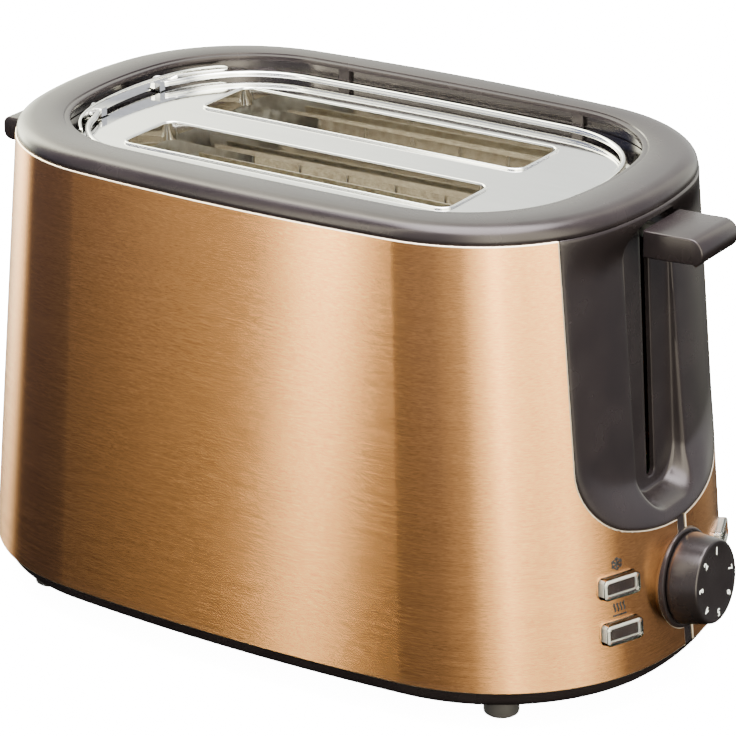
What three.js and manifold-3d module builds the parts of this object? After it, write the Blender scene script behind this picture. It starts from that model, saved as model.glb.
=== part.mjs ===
// Pop up toaster: a tapered oval steel body with a black top ring, end panel and base,
// two bread slots, a bread carriage with its lever, a bun warming rack that lifts out of
// the top, a browning knob, three push buttons and a crumb tray.
// Millimetres, +Z up. The control end faces +X and the bread slots run along X.

import * as THREE from 'three';
import { mergeVertices } from 'three/addons/utils/BufferGeometryUtils.js';
import Module from 'manifold-3d';

const wasm = await Module();
wasm.setup();

// ---------------------------------------------------------------- driving dimensions

const gap = 0.3;                  // play between neighbouring pieces
const sheet = 0.8;                // thickness of the pressed sheet metal

// The body outline is an oval of arcs: two bowed sides, two bowed ends and four round corners.
const body = {
  bottom: { z: 15, halfLength: 140, halfWidth: 85.4, corner: 74.7 },
  top: { z: 172.7, halfLength: 123.2, halfWidth: 79.6, corner: 62.5 },
  sideBow: 812,
  endBow: 143,
};
const bodyHeight = body.top.z - body.bottom.z;

const ring = { top: 178.9, shoulder: 7, lip: 2.1, skirtBottom: 167.5, wall: 2.4 };
const opening = { halfLength: 102.7, halfWidth: 61.9, corner: 46.5, sideBow: 1800, endBow: 127 };
const undercut = 4.4;             // how far the recess wall stands back under the ring's lip

const plate = { top: 171, thickness: 1.2, rim: 0.7, rimWidth: 1.4, flange: 5 };
const breadSlot = { centreX: -5, centreY: 24.3, length: 134, width: 28, corner: 4 };

const panel = { halfWidth: 48.5, bottom: 61.5, corner: 26, thickness: 2.2, dish: 5, blend: 17 };
const strip = { halfWidth: 2.9, thickness: 1.4 };
const channel = {
  floorTop: { z: 158.7, x: 118.1 }, floorBottom: { z: 79.3, x: 122.3 },
  halfWidth: 17, bottom: 73.5, top: 169.5, corner: 12, draft: 0.35, slotHalfWidth: 2.7,
  slotBottom: 77.5, slotTop: 167.6, wall: 1.8,
};

const carriageTravel = 80;
const lever = { inner: 123.5, outer: 146, halfWidth: 13.3, bottom: 158.5, top: 168, taper: 0.9 };
const arm = { halfWidth: 1.5, bottom: 161, top: 166 };
const rail = { top: 132, height: 6, halfThickness: 0.6, start: -71, end: 69.2 };
const guideRod = { x: 80, y: -14, radius: 2.5, bottom: 20, top: 167 };

const tilt = Math.atan((body.bottom.halfLength - body.top.halfLength) / bodyHeight);
const knob = { z: 39.2, ringRadius: 17.7, baseRadius: 16.2, faceRadius: 14.7, height: 12.2, standOff: 1 };
const button = { width: 17.4, height: 7.4, depth: 3.4, side: 35, upper: 49, lower: 32.4, stem: 17 };

const base = { bottom: 6.5, floor: 9, inset: 2.6 };
const foot = { x: 97, y: 56, radius: 6.3, stem: 2.4 };
const tray = { halfWidth: 43, start: -131, end: 60, bottom: 9.5, top: 13.8 };

const bun = { wire: 1.15, wireZ: 173.25, inset: 6.2, travel: 11 * Math.PI, legX: -97.6, leverBottom: 152, leverTop: 161 };
const pinion = { teeth: 16, module: 1, x: -107, z: 120, thickness: 4 };
const pitch = Math.PI * pinion.module;

// ---------------------------------------------------------------- materials

function material(color, roughness, metalness, extra = {}) {
  return new THREE.MeshStandardMaterial({ color, roughness, metalness, ...extra });
}

const copper = material(0xc79368, 0.32, 1);
const blackPlastic = material(0x3a3536, 0.42, 0);
const chrome = material(0xd9d6d4, 0.1, 1);
const steel = material(0xa9a7a3, 0.4, 1);
const mica = material(0x8a7a5c, 0.8, 0);
const nichrome = material(0x6e665e, 0.5, 1);
const clearPlastic = material(0xdfe2e4, 0.08, 0, { transparent: true, opacity: 0.4 });
const coreBrown = material(0x35251f, 0.3, 0);
const board = material(0x2d6a3d, 0.6, 0);
const coil = material(0xa4552a, 0.45, 0.6);
const rubber = material(0x1f1d1d, 0.8, 0);

// ---------------------------------------------------------------- solids

// Turns a closed three.js geometry into a solid that can be joined and cut.
function solid(geometry) {
  const bare = geometry.clone();
  bare.deleteAttribute('normal');
  bare.deleteAttribute('uv');
  const merged = mergeVertices(bare, 1e-4);
  const corners = merged.index.array;
  const faces = [];
  for (let i = 0; i < corners.length; i += 3) {
    const [a, b, c] = corners.slice(i, i + 3);
    if (a !== b && b !== c && c !== a) faces.push([a, b, c]);
  }
  const build = (list) => new wasm.Manifold(new wasm.Mesh({
    numProp: 3,
    vertProperties: new Float32Array(merged.attributes.position.array),
    triVerts: new Uint32Array(list.flat()),
  }));
  const shape = build(faces);
  return shape.volume() > 0 ? shape : build(faces.map(([a, b, c]) => [a, c, b]));
}

function geometryOf(shape) {
  const mesh = shape.getMesh();
  const geometry = new THREE.BufferGeometry();
  geometry.setAttribute('position', new THREE.BufferAttribute(new Float32Array(mesh.vertProperties), 3));
  geometry.setIndex(new THREE.BufferAttribute(new Uint32Array(mesh.triVerts), 1));
  geometry.computeVertexNormals();
  return geometry;
}

function box(x0, x1, y0, y1, z0, z1) {
  const geometry = new THREE.BoxGeometry(x1 - x0, y1 - y0, z1 - z0);
  geometry.translate((x0 + x1) / 2, (y0 + y1) / 2, (z0 + z1) / 2);
  return solid(geometry);
}

// A cylinder or cone from z0 to z1 about a vertical line.
function post(x, y, z0, z1, radius, topRadius = radius, sides = 16) {
  const geometry = new THREE.CylinderGeometry(topRadius, radius, z1 - z0, sides);
  geometry.rotateX(Math.PI / 2);
  geometry.translate(x, y, (z0 + z1) / 2);
  return solid(geometry);
}

// A cylinder or cone along X from x0 to x1.
function bar(x0, x1, y, z, radius, farRadius = radius, sides = 24) {
  const geometry = new THREE.CylinderGeometry(radius, farRadius, x1 - x0, sides);
  geometry.rotateZ(Math.PI / 2);
  geometry.translate((x0 + x1) / 2, y, z);
  return solid(geometry);
}

function union(...shapes) {
  return shapes.reduce((sum, shape) => sum.add(shape));
}

// A closed skin over a stack of rings of points. Each end is closed by a fan about its centre.
function loft(rings) {
  const count = rings[0].length;
  const centreOf = (points) => points.reduce((sum, p) => sum.add(p), new THREE.Vector3()).divideScalar(count);
  const points = [...rings.flat(), centreOf(rings[0]), centreOf(rings[rings.length - 1])];
  const first = rings.length * count;
  const faces = [];
  for (let level = 0; level + 1 < rings.length; level += 1) {
    for (let i = 0; i < count; i += 1) {
      const a = level * count + i;
      const b = level * count + (i + 1) % count;
      faces.push(a, b, b + count, a, b + count, a + count);
    }
  }
  for (let i = 0; i < count; i += 1) {
    const next = (i + 1) % count;
    const top = (rings.length - 1) * count;
    faces.push(first, next, i, first + 1, top + i, top + next);
  }
  const geometry = new THREE.BufferGeometry();
  geometry.setAttribute('position', new THREE.Float32BufferAttribute(points.flatMap((p) => p.toArray()), 3));
  geometry.setIndex(faces);
  return solid(geometry);
}

// An outline drawn in two axes and pulled along the third one.
function prismZ(points, z0, z1) {
  const geometry = new THREE.ExtrudeGeometry(new THREE.Shape(points), { depth: z1 - z0, bevelEnabled: false });
  geometry.translate(0, 0, z0);
  return solid(geometry);
}

function prismX(points, x0, x1, bevel = 0) {
  const geometry = new THREE.ExtrudeGeometry(new THREE.Shape(points), {
    depth: x1 - x0 - 2 * bevel,
    bevelEnabled: bevel > 0,
    bevelThickness: bevel,
    bevelSize: bevel,
    bevelOffset: -bevel,
    bevelSegments: 1,
  });
  geometry.translate(0, 0, x0 + bevel);
  geometry.applyMatrix4(new THREE.Matrix4().makeBasis(yAxis, zAxis, xAxis));
  return solid(geometry);
}

function prismY(points, halfWidth, bevel) {
  const geometry = new THREE.ExtrudeGeometry(new THREE.Shape(points), {
    depth: 2 * (halfWidth - bevel),
    bevelThickness: bevel,
    bevelSize: bevel,
    bevelOffset: -bevel,
    bevelSegments: 1,
  });
  geometry.translate(0, 0, bevel - halfWidth);
  geometry.applyMatrix4(new THREE.Matrix4().makeBasis(xAxis, zAxis, yAxis.clone().negate()));
  return solid(geometry);
}

// A turned piece about X from a profile of [radius, x] points.
function turned(profile, sides = 32) {
  const geometry = new THREE.LatheGeometry(profile.map(([r, h]) => new THREE.Vector2(r, h)), sides);
  geometry.rotateZ(-Math.PI / 2);
  return solid(geometry);
}

function roundedRectangle(width, height, radius, steps = 4) {
  const points = [];
  for (const [sx, sy, start] of [[1, 1, 0], [-1, 1, 90], [-1, -1, 180], [1, -1, 270]]) {
    const cx = sx * (width / 2 - radius);
    const cy = sy * (height / 2 - radius);
    for (let i = 0; i <= steps; i += 1) {
      const angle = THREE.MathUtils.degToRad(start + (90 * i) / steps);
      points.push(new THREE.Vector2(cx + radius * Math.cos(angle), cy + radius * Math.sin(angle)));
    }
  }
  return points;
}

const shifted = (points, dx, dy) => points.map((p) => new THREE.Vector2(p.x + dx, p.y + dy));

// ---------------------------------------------------------------- body outline

// The arcs of one quarter of the oval: the end arc, then the corner arc, then the side arc.
function quarterArcs({ halfLength, halfWidth, corner, sideBow, endBow }) {
  const side = new THREE.Vector2(0, halfWidth - sideBow);
  const end = new THREE.Vector2(halfLength - endBow, 0);
  const span = end.clone().sub(side);
  const distance = span.length();
  const along = ((sideBow - corner) ** 2 - (endBow - corner) ** 2 + distance ** 2) / (2 * distance);
  const across = Math.sqrt((sideBow - corner) ** 2 - along ** 2);
  span.divideScalar(distance);
  const middle = new THREE.Vector2(span.x * along + span.y * across, span.y * along - span.x * across).add(side);
  const endAngle = Math.atan2(middle.y - end.y, middle.x - end.x);
  const sideAngle = Math.atan2(middle.y - side.y, middle.x - side.x);
  return [
    { centre: end, radius: endBow, from: 0, to: endAngle, steps: 2 },
    { centre: middle, radius: corner, from: endAngle, to: sideAngle, steps: 8 },
    { centre: side, radius: sideBow, from: sideAngle, to: Math.PI / 2, steps: 3 },
  ];
}

function outline(section) {
  const quarter = [];
  for (const { centre, radius, from, to, steps } of quarterArcs(section)) {
    for (let i = 0; i < steps; i += 1) {
      const angle = from + ((to - from) * i) / steps;
      quarter.push(new THREE.Vector2(centre.x + radius * Math.cos(angle), centre.y + radius * Math.sin(angle)));
    }
  }
  const side = new THREE.Vector2(0, section.halfWidth);
  const upper = [...quarter, side, ...quarter.slice(1).reverse().map((p) => new THREE.Vector2(-p.x, p.y))];
  return [...upper, ...upper.map((p) => new THREE.Vector2(-p.x, -p.y))];
}

// The body's section at a height, moved inwards by an even distance.
function sectionAt(z, inset = 0) {
  const mix = (z - body.bottom.z) / bodyHeight;
  const between = (key) => THREE.MathUtils.lerp(body.bottom[key], body.top[key], mix) - inset;
  return {
    halfLength: between('halfLength'),
    halfWidth: between('halfWidth'),
    corner: between('corner'),
    sideBow: body.sideBow - inset,
    endBow: body.endBow - inset,
  };
}

const grownOpening = (by) => Object.fromEntries(Object.entries(opening).map(([key, value]) => [key, value + by]));
const levelRing = (section, z) => outline(section).map((p) => new THREE.Vector3(p.x, p.y, z));

// A stack of [height, section] levels.
const ovalStack = (levels) => loft(levels.map(([z, section]) => levelRing(section, z)));
const bodyStack = (levels) => ovalStack(levels.map(([z, inset]) => [z, sectionAt(z, inset)]));
const straightOval = (section, z0, z1) => ovalStack([[z0, section], [z1, section]]);

// Where the control end of the body lies at a place across and up, and its outward angle there.
function endX(y, z) {
  const [end, corner] = quarterArcs(sectionAt(z));
  const reach = Math.abs(y);
  const arc = reach < end.radius * Math.sin(end.to) ? end : corner;
  return arc.centre.x + Math.sqrt(arc.radius ** 2 - (reach - arc.centre.y) ** 2);
}

function endAngle(y, z) {
  const [, corner] = quarterArcs(sectionAt(z));
  return Math.sign(y) * Math.asin((Math.abs(y) - corner.centre.y) / corner.radius);
}

// ---------------------------------------------------------------- patches on the control end

const ratio = (i, count) => i / (count - 1);

// A closed skin between a front and a back surface over a grid; at(row, column) gives [front, back].
function patch(rows, columns, at) {
  const front = [];
  const back = [];
  for (let row = 0; row < rows; row += 1) {
    for (let column = 0; column < columns; column += 1) {
      const [near, far] = at(ratio(row, rows), ratio(column, columns));
      front.push(near);
      back.push(far);
    }
  }
  const total = rows * columns;
  const faces = [];
  const quad = (a, b, c, d) => faces.push(a, b, c, a, c, d);
  for (let row = 0; row + 1 < rows; row += 1) {
    for (let column = 0; column + 1 < columns; column += 1) {
      const a = row * columns + column;
      quad(a, a + 1, a + 1 + columns, a + columns);
      quad(total + a, total + a + columns, total + a + 1 + columns, total + a + 1);
    }
  }
  const edge = (a, b) => quad(b, a, total + a, total + b);
  for (let column = 0; column + 1 < columns; column += 1) {
    edge(column, column + 1);
    edge(total - column - 1, total - column - 2);
  }
  for (let row = 0; row + 1 < rows; row += 1) {
    edge((row + 1) * columns, row * columns);
    edge((row + 1) * columns - 1, (row + 2) * columns - 1);
  }
  const geometry = new THREE.BufferGeometry();
  const points = [...front, ...back];
  geometry.setAttribute('position', new THREE.Float32BufferAttribute(points.flatMap((p) => p.toArray()), 3));
  geometry.setIndex(faces);
  return solid(geometry);
}

// Half the panel's width at a height: straight above, round at its two lower corners.
function panelReach(z) {
  const drop = panel.bottom + panel.corner - z;
  if (drop <= 0) return panel.halfWidth;
  return panel.halfWidth - panel.corner + Math.sqrt(Math.max(0, panel.corner ** 2 - drop ** 2));
}

// The panel is flatter than the body's end, and rolls out to meet it along the lower edge.
function panelDish(y, z) {
  const across = Math.min(1, Math.abs(y) / panel.halfWidth);
  const lower = panel.bottom + panel.corner - Math.sqrt(Math.max(0,
    panel.corner ** 2 - Math.max(0, Math.abs(y) - panel.halfWidth + panel.corner) ** 2));
  return panel.dish * (1 - across ** 2) * THREE.MathUtils.smoothstep(z, lower, lower + panel.blend);
}

const panelTop = body.top.z - gap;

function panelPatch(depthAt) {
  return patch(16, 15, (up, across) => {
    const z = THREE.MathUtils.lerp(panel.bottom, panelTop, up ** 1.6);
    const y = (2 * across - 1) * panelReach(z);
    const x = endX(y, z) - panelDish(y, z);
    return [new THREE.Vector3(x, y, z), new THREE.Vector3(depthAt(x), y, z)];
  });
}

// A U outline open at the top, in Y and Z.
function panelOutline(grow) {
  const radius = panel.corner + grow;
  const points = [new THREE.Vector2(-panel.halfWidth - grow, body.top.z + 20)];
  const steps = 8;
  for (const [side, start] of [[-1, 180], [1, 270]]) {
    for (let i = 0; i <= steps; i += 1) {
      const angle = THREE.MathUtils.degToRad(start + (90 * i) / steps);
      points.push(new THREE.Vector2(
        side * (panel.halfWidth - panel.corner) + radius * Math.cos(angle),
        panel.bottom + panel.corner + radius * Math.sin(angle),
      ));
    }
  }
  points.push(new THREE.Vector2(panel.halfWidth + grow, body.top.z + 20));
  return points;
}

// ---------------------------------------------------------------- lever channel

function channelFloor(z) {
  const { floorTop, floorBottom } = channel;
  return THREE.MathUtils.mapLinear(z, floorBottom.z, floorTop.z, floorBottom.x, floorTop.x);
}

// The channel's outline at a distance in front of its floor, grown by its draft.
function channelLevel(forward, grow) {
  const wide = channel.halfWidth + grow + channel.draft * Math.max(0, forward);
  const low = channel.bottom - (wide - channel.halfWidth);
  const high = channel.top + grow;
  const points = shifted(roundedRectangle(2 * wide, high - low, channel.corner, 6), 0, (high + low) / 2);
  return points.map((p) => new THREE.Vector3(channelFloor(p.y) + forward, p.x, p.y));
}

const channelSpace = () => loft([channelLevel(0, 0), channelLevel(14, 0)]);
const channelWalls = () => loft([channelLevel(-channel.wall, channel.wall), channelLevel(12, channel.wall)]);

// ---------------------------------------------------------------- outer pieces

const xAxis = new THREE.Vector3(1, 0, 0);
const yAxis = new THREE.Vector3(0, 1, 0);
const zAxis = new THREE.Vector3(0, 0, 1);

function named(name, shape, look, x = 0, y = 0, z = 0) {
  const mesh = new THREE.Mesh(geometryOf(shape), look);
  mesh.name = name;
  mesh.position.set(x, y, z);
  return mesh;
}

// The knob and the buttons stand square on the sloping end, each in a frame of its own.
function faceFrame(y, z, angle) {
  const frame = new THREE.Group();
  frame.position.set(endX(y, z), y, z);
  frame.rotation.set(0, -tilt, angle, 'ZYX');
  frame.updateMatrix();
  return frame;
}

const buttonPlaces = [
  { name: 'defrost', y: -button.side, z: button.upper },
  { name: 'reheat', y: -button.side, z: button.lower },
  { name: 'stop', y: button.side, z: button.upper },
];
const buttonFrame = ({ y, z }) => faceFrame(y, z, endAngle(y, z));
const knobFrame = () => faceFrame(0, knob.z, 0);

// A solid drawn in a local frame, moved to where the frame stands.
const inFrame = (shape, frame) => shape.transform(frame.matrix.toArray());

function steelWrap() {
  const skin = bodyStack([[body.bottom.z, 0], [body.top.z, 0]]);
  const inside = bodyStack([[body.bottom.z - 1, sheet], [body.top.z + 1, sheet]]);
  const cuts = [
    prismX(panelOutline(gap + 0.1), 60, 160),
    box(100, 160, -strip.halfWidth - gap, strip.halfWidth + gap, body.bottom.z - 1, panel.bottom + 2),
    inFrame(bar(-15, 10, 0, 0, knob.ringRadius + gap, knob.ringRadius + gap, 36), knobFrame()),
    box(-160, -100, -bunSlot.halfWidth, bunSlot.halfWidth, bunSlot.bottom, bunSlot.top),
  ];
  for (const place of buttonPlaces) {
    const hole = roundedRectangle(button.width + 0.6, button.height + 0.6, 1.9, 2);
    cuts.push(inFrame(prismX(hole, -6, 6), buttonFrame(place)));
  }
  return named('steel_wrap', skin.subtract(inside).subtract(union(...cuts)), copper);
}

function endPanel() {
  const skin = panelPatch((x) => x - panel.thickness);
  const behind = panelPatch(() => 100);
  const tub = channelWalls().intersect(behind);
  const slot = roundedRectangle(2 * channel.slotHalfWidth, channel.slotTop - channel.slotBottom, 2.4, 4);
  const slotCut = prismX(shifted(slot, 0, (channel.slotTop + channel.slotBottom) / 2), 100, 130);
  const bottom = body.bottom.z + gap;
  const bandTop = panel.bottom + 1.5;
  const band = patch(12, 5, (up, across) => {
    const z = THREE.MathUtils.lerp(bottom, bandTop, up);
    const y = THREE.MathUtils.lerp(-strip.halfWidth, strip.halfWidth, across);
    const x = endX(y, z) - gap;
    return [new THREE.Vector3(x, y, z), new THREE.Vector3(x - strip.thickness, y, z)];
  });
  const disc = bar(-3.6, knob.standOff - gap, 0, 0, knob.ringRadius, knob.ringRadius, 36);
  const knobSeat = inFrame(disc, knobFrame());
  const shaftHole = inFrame(bar(-10, 10, 0, 0, 3.6), knobFrame());
  const shape = union(skin, tub, band, knobSeat).subtract(channelSpace()).subtract(slotCut).subtract(shaftHole);
  return named('end_panel', shape, blackPlastic);
}

function topRing() {
  const seam = body.top.z + gap;
  const shoulder = [[seam, 0], [seam + 1.7, 0.25], [seam + 3.4, 1.2], [seam + 4.8, 3], [ring.top - 0.35, 5],
    [ring.top, ring.shoulder]];
  const cap = ovalStack(shoulder.map(([z, inset]) => [z, sectionAt(seam, inset)]));
  const skirtInset = sheet + 0.8;
  const skirt = straightOval(sectionAt(seam, skirtInset), ring.skirtBottom, seam + 0.5);
  const hole = straightOval(opening, 150, 190);
  const recess = straightOval(grownOpening(undercut), 150, ring.top - ring.lip);
  const groove = straightOval(sectionAt(seam, skirtInset + ring.wall), 150, ring.top - 3.2)
    .subtract(straightOval(grownOpening(undercut + ring.wall), 149, 190));
  const panelRoom = box(100, 160, -panel.halfWidth - 1, panel.halfWidth + 1, 150, seam);
  const shape = union(cap, skirt).subtract(union(hole, recess, groove, panelRoom));
  return named('top_ring', shape, blackPlastic);
}

function topPlate() {
  const bottom = plate.top - plate.thickness;
  let shape = straightOval(grownOpening(undercut - 0.4), bottom, plate.top);
  const slotShape = (grow) => roundedRectangle(breadSlot.length + 2 * grow, breadSlot.width + 2 * grow,
    breadSlot.corner + grow);
  for (const side of [-1, 1]) {
    const at = (grow) => shifted(slotShape(grow), breadSlot.centreX, side * breadSlot.centreY);
    const collar = prismZ(at(plate.rimWidth), bottom, plate.top + plate.rim);
    const flange = prismZ(at(sheet), bottom - plate.flange, bottom + 0.1);
    shape = union(shape, collar, flange).subtract(prismZ(at(0), 150, 190));
    shape = shape.subtract(box(bun.legX - 1.9, bun.legX + 3, side * 18 - 2.4, side * 18 + 2.4, 150, 190));
  }
  return named('top_plate', shape, chrome);
}

// ---------------------------------------------------------------- base

const baseLevels = [[base.bottom, 13], [7.3, 8], [8.8, 4.4], [14.6, base.inset], [21, base.inset]];
const baseStack = (extra) => ovalStack(baseLevels.map(([z, inset]) => [z, sectionAt(body.bottom.z, inset + extra)]));

const fourCorners = (x0, x1, y) => [[x1, -y], [x1, y], [x0, -y], [x0, y]];
const footPlaces = fourCorners(-foot.x, foot.x, foot.y);
const frameX = { front: 66, rear: -77.2 };
const frameThickness = 1.2;
const screwPlaces = fourCorners(frameX.rear - 5.8, frameX.front + 7, 62);
const gland = { x: -60, y: 62, radius: 6, bore: 3.6, flange: 8 };

function basePan() {
  const inside = ovalStack([
    [base.floor, sectionAt(body.bottom.z, 9.4)],
    [14.6, sectionAt(body.bottom.z, base.inset + 2.6)],
    [22, sectionAt(body.bottom.z, base.inset + 2.6)],
  ]);
  const bosses = screwPlaces.map(([x, y]) => post(x, y, base.floor - 1, 15.7, 4.5));
  const ribs = [-1, 1].map((side) => box(95, 101, side * 42 - 4, side * 42 + 4, base.floor - 1, 21.7));
  const pedestal = box(76, 92, -7, 8, base.floor - 1, 19.7);
  const holes = [
    ...screwPlaces.map(([x, y]) => post(x, y, 0, 20, 2.2, 2.2, 16)),
    ...footPlaces.map(([x, y]) => post(x, y, 0, 12, foot.stem + gap, foot.stem + gap, 16)),
    post(gland.x, gland.y, 0, 12, gland.radius + gap),
    box(-160, -115, -tray.halfWidth - 0.6, tray.halfWidth + 0.6, base.floor, 14.3),
  ];
  for (let i = 0; i < 6; i += 1) {
    holes.push(box(-55 + 20 * i, -49 + 20 * i, -26, 26, 0, 12));
  }
  const shape = baseStack(0).subtract(inside).add(union(...bosses, ...ribs, pedestal)).subtract(union(...holes));
  return named('base_pan', shape, blackPlastic);
}

function feet() {
  const shape = union(
    post(0, 0, 0, 1.2, foot.radius - 0.9, foot.radius),
    post(0, 0, 1.1, base.bottom - gap, foot.radius),
    post(0, 0, base.bottom - gap - 0.1, base.floor + 1, foot.stem, foot.stem, 16),
  );
  return footPlaces.map(([x, y], i) => named(`foot_${i + 1}`, shape, rubber, x, y, 0));
}

function baseScrews() {
  const shape = union(
    post(0, 0, 4.7, base.bottom - gap, 3.2, 3.6, 16),
    post(0, 0, base.bottom - gap - 0.1, 20, 1.7, 1.7, 12),
  ).subtract(box(-0.4, 0.4, -2.4, 2.4, 4, 5.6)).subtract(box(-2.4, 2.4, -0.4, 0.4, 4, 5.6));
  return screwPlaces.map(([x, y], i) => named(`base_screw_${i + 1}`, shape, steel, x, y, 0));
}

function cordGland() {
  const shape = union(
    post(0, 0, 4.5, 13, gland.radius),
    post(0, 0, base.floor + gap, base.floor + 1.8, gland.flange),
  ).subtract(post(0, 0, 0, 20, gland.bore, gland.bore, 16));
  return named('cord_gland', shape, rubber, gland.x, gland.y, 0);
}

function crumbTray() {
  const pan = box(-160, tray.end, -tray.halfWidth, tray.halfWidth, tray.bottom, tray.top).intersect(baseStack(0));
  const hollow = box(-160, tray.end - sheet, -tray.halfWidth + sheet, tray.halfWidth - sheet, tray.bottom + sheet, 30)
    .intersect(baseStack(3));
  return named('crumb_tray', pan.subtract(hollow), blackPlastic);
}

// ---------------------------------------------------------------- chassis and heaters

const railSlot = { bottom: 42, top: 140, halfWidth: 1.5 };
const chassisTop = plate.top - plate.thickness - 0.4;
const rackEar = { inner: 4, outer: 5.5, bottom: 112, top: 127 };

function screwTabs(x0, x1, places) {
  return places.map(([x, y]) => box(x0, x1, y - 7, y + 7, 16, 17.2).subtract(post(x, y, 10, 20, 2.1, 2.1, 16)));
}

function chassisFront() {
  const front = frameX.front;
  const wall = box(front, front + frameThickness, -60, 60, 16, chassisTop);
  const slots = [-1, 1].map((side) => box(front - 2, front + 3, side * breadSlot.centreY - railSlot.halfWidth,
    side * breadSlot.centreY + railSlot.halfWidth, railSlot.bottom, railSlot.top));
  const tabs = [
    box(front, 84, 10, 18, 164, 165.2),
    box(front, 86, -19, -9, 164, 165.2),
    box(front, 86, -19, -9, 18.5, 19.7),
  ];
  const shape = union(wall, ...tabs, ...screwTabs(front, front + 13, screwPlaces.slice(0, 2)))
    .subtract(union(...slots, post(guideRod.x, guideRod.y, 160, 170, guideRod.radius + gap)));
  return named('chassis_end_front', shape, steel);
}

function chassisRear() {
  const rear = frameX.rear;
  const wall = box(rear, rear + frameThickness, -60, 60, 16, chassisTop);
  const ears = [-1, 1].map((side) => box(pinion.x - 4, rear + 0.2, Math.min(side * rackEar.inner, side * rackEar.outer),
    Math.max(side * rackEar.inner, side * rackEar.outer), rackEar.bottom, rackEar.top));
  const axleHole = acrossBar(pinion.x, pinion.z, 8, 2.3, 20);
  const shape = union(wall, ...ears, ...screwTabs(rear - 12, rear + 0.2, screwPlaces.slice(2))).subtract(axleHole);
  return named('chassis_end_rear', shape, steel);
}

// A cylinder along Y.
function acrossBar(x, z, halfLength, radius, sides) {
  const geometry = new THREE.CylinderGeometry(radius, radius, 2 * halfLength, sides);
  geometry.translate(x, 0, 0);
  geometry.translate(0, 0, z);
  return solid(geometry);
}

function reflectors() {
  const shape = box(frameX.rear + frameThickness + gap, frameX.front - gap, -0.3, 0.3, 22, 164);
  return [-1, 1].map((side, i) => named(`reflector_${i + 1}`, shape, chrome, 0, side * 46.8, 0));
}

// One side of a bread slot, seen from the slot's middle plane: guard, heating ribbon, heater card.
const guard = { offset: 13, hinge: 44, height: 108, wire: 1.4, pitch: 21, count: 7 };
const heater = { card: 17.7, ribbon: 16.5, length: 132, bottom: 46, top: 155, runs: 10 };

const slotSides = [-1, 1].flatMap((side) => [-1, 1].map((facing) => ({ side, facing })));
const slotSideY = ({ side, facing }, offset) => side * breadSlot.centreY + facing * offset;

function heaterCards() {
  const shape = box(-heater.length / 2, heater.length / 2, -0.4, 0.4, heater.bottom, heater.top);
  return slotSides.map((place, i) => named(`heater_card_${i + 1}`, shape, mica,
    breadSlot.centreX, slotSideY(place, heater.card), 0));
}

// A flat ribbon that runs to and fro along the card.
function ribbonShape() {
  const half = heater.length / 2 - 6;
  const step = (heater.top - heater.bottom - 12) / (heater.runs - 1);
  const width = 1.8;
  const runs = [];
  for (let i = 0; i < heater.runs; i += 1) {
    const z = heater.bottom + 6 + i * step;
    runs.push(box(-half, half, -0.3, 0.3, z - width / 2, z + width / 2));
    if (i > 0) {
      const x = i % 2 ? half - width / 2 : width / 2 - half;
      runs.push(box(x - width / 2, x + width / 2, -0.3, 0.3, z - step, z));
    }
  }
  return union(...runs);
}

function heatingRibbons() {
  const shape = ribbonShape();
  return slotSides.map((place, i) => named(`heating_ribbon_${i + 1}`, shape, nichrome,
    breadSlot.centreX, slotSideY(place, heater.ribbon), 0));
}

function breadGuards() {
  const half = guard.wire / 2;
  const reach = ((guard.count - 1) * guard.pitch) / 2;
  const wires = [0, guard.height / 2, guard.height].map((z) => box(-reach - half, reach + half, -half, half, z - half,
    z + half));
  for (let i = 0; i < guard.count; i += 1) {
    const x = i * guard.pitch - reach;
    wires.push(box(x - half, x + half, -half, half, 0, guard.height));
  }
  const shape = union(...wires);
  return slotSides.map((place, i) => named(`bread_guard_${i + 1}`, shape, chrome,
    breadSlot.centreX, slotSideY(place, guard.offset), guard.hinge));
}

// ---------------------------------------------------------------- carriage

function carriageBracket() {
  const back = rail.end + gap;
  const face = back + 1.5;
  const shape = union(
    box(back, face, -29, 29, 122, 136),
    box(back, face, -8, 8, 122, arm.top),
    box(back, lever.inner + 8, -arm.halfWidth, arm.halfWidth, arm.bottom, arm.top),
    box(back, 86, -20, -8, 122, 136),
    box(back, 86, 9, 19, 129.5, 131),
    box(back, 86, -5, 6, 125.3, 126.8),
  ).subtract(post(guideRod.x, guideRod.y, 100, 150, guideRod.radius + gap));
  return named('carriage_bracket', shape, steel);
}

function armaturePlate() {
  return named('armature_plate', box(76, 92, -5, 6, 122.4, 125), steel);
}

function leverHandle() {
  const { inner, outer, bottom, top, taper } = lever;
  const nose = 5.2;
  const points = [new THREE.Vector2(inner, bottom), new THREE.Vector2(outer - 3.4, bottom + taper)];
  for (let i = 1; i <= 8; i += 1) {
    const angle = -Math.PI / 2 + 0.35 + (i / 8) * (Math.PI - 0.35);
    points.push(new THREE.Vector2(outer - nose + nose * Math.cos(angle), top + 0.4 - nose + nose * Math.sin(angle)));
  }
  points.push(new THREE.Vector2(inner, top));
  const socket = box(inner - 1, inner + 8.3, -arm.halfWidth - gap, arm.halfWidth + gap, arm.bottom - gap, arm.top + gap);
  return named('lever_handle', prismY(points, lever.halfWidth, 0.5).subtract(socket), blackPlastic);
}

function breadSupports() {
  const teeth = [box(rail.start, rail.end, -rail.halfThickness, rail.halfThickness, -rail.height, 0)];
  for (let x = rail.start + 4; x < 58; x += 16) {
    teeth.push(box(x, x + 4, -4, 4, -1.4, 0));
  }
  const shape = union(...teeth);
  return [-1, 1].map((side, i) => named(`bread_support_${i + 1}`, shape, steel, 0, side * breadSlot.centreY, rail.top));
}

function guideRodPiece() {
  const shape = post(0, 0, guideRod.bottom, guideRod.top, guideRod.radius);
  return named('guide_rod', shape, steel, guideRod.x, guideRod.y, 0);
}

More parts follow.
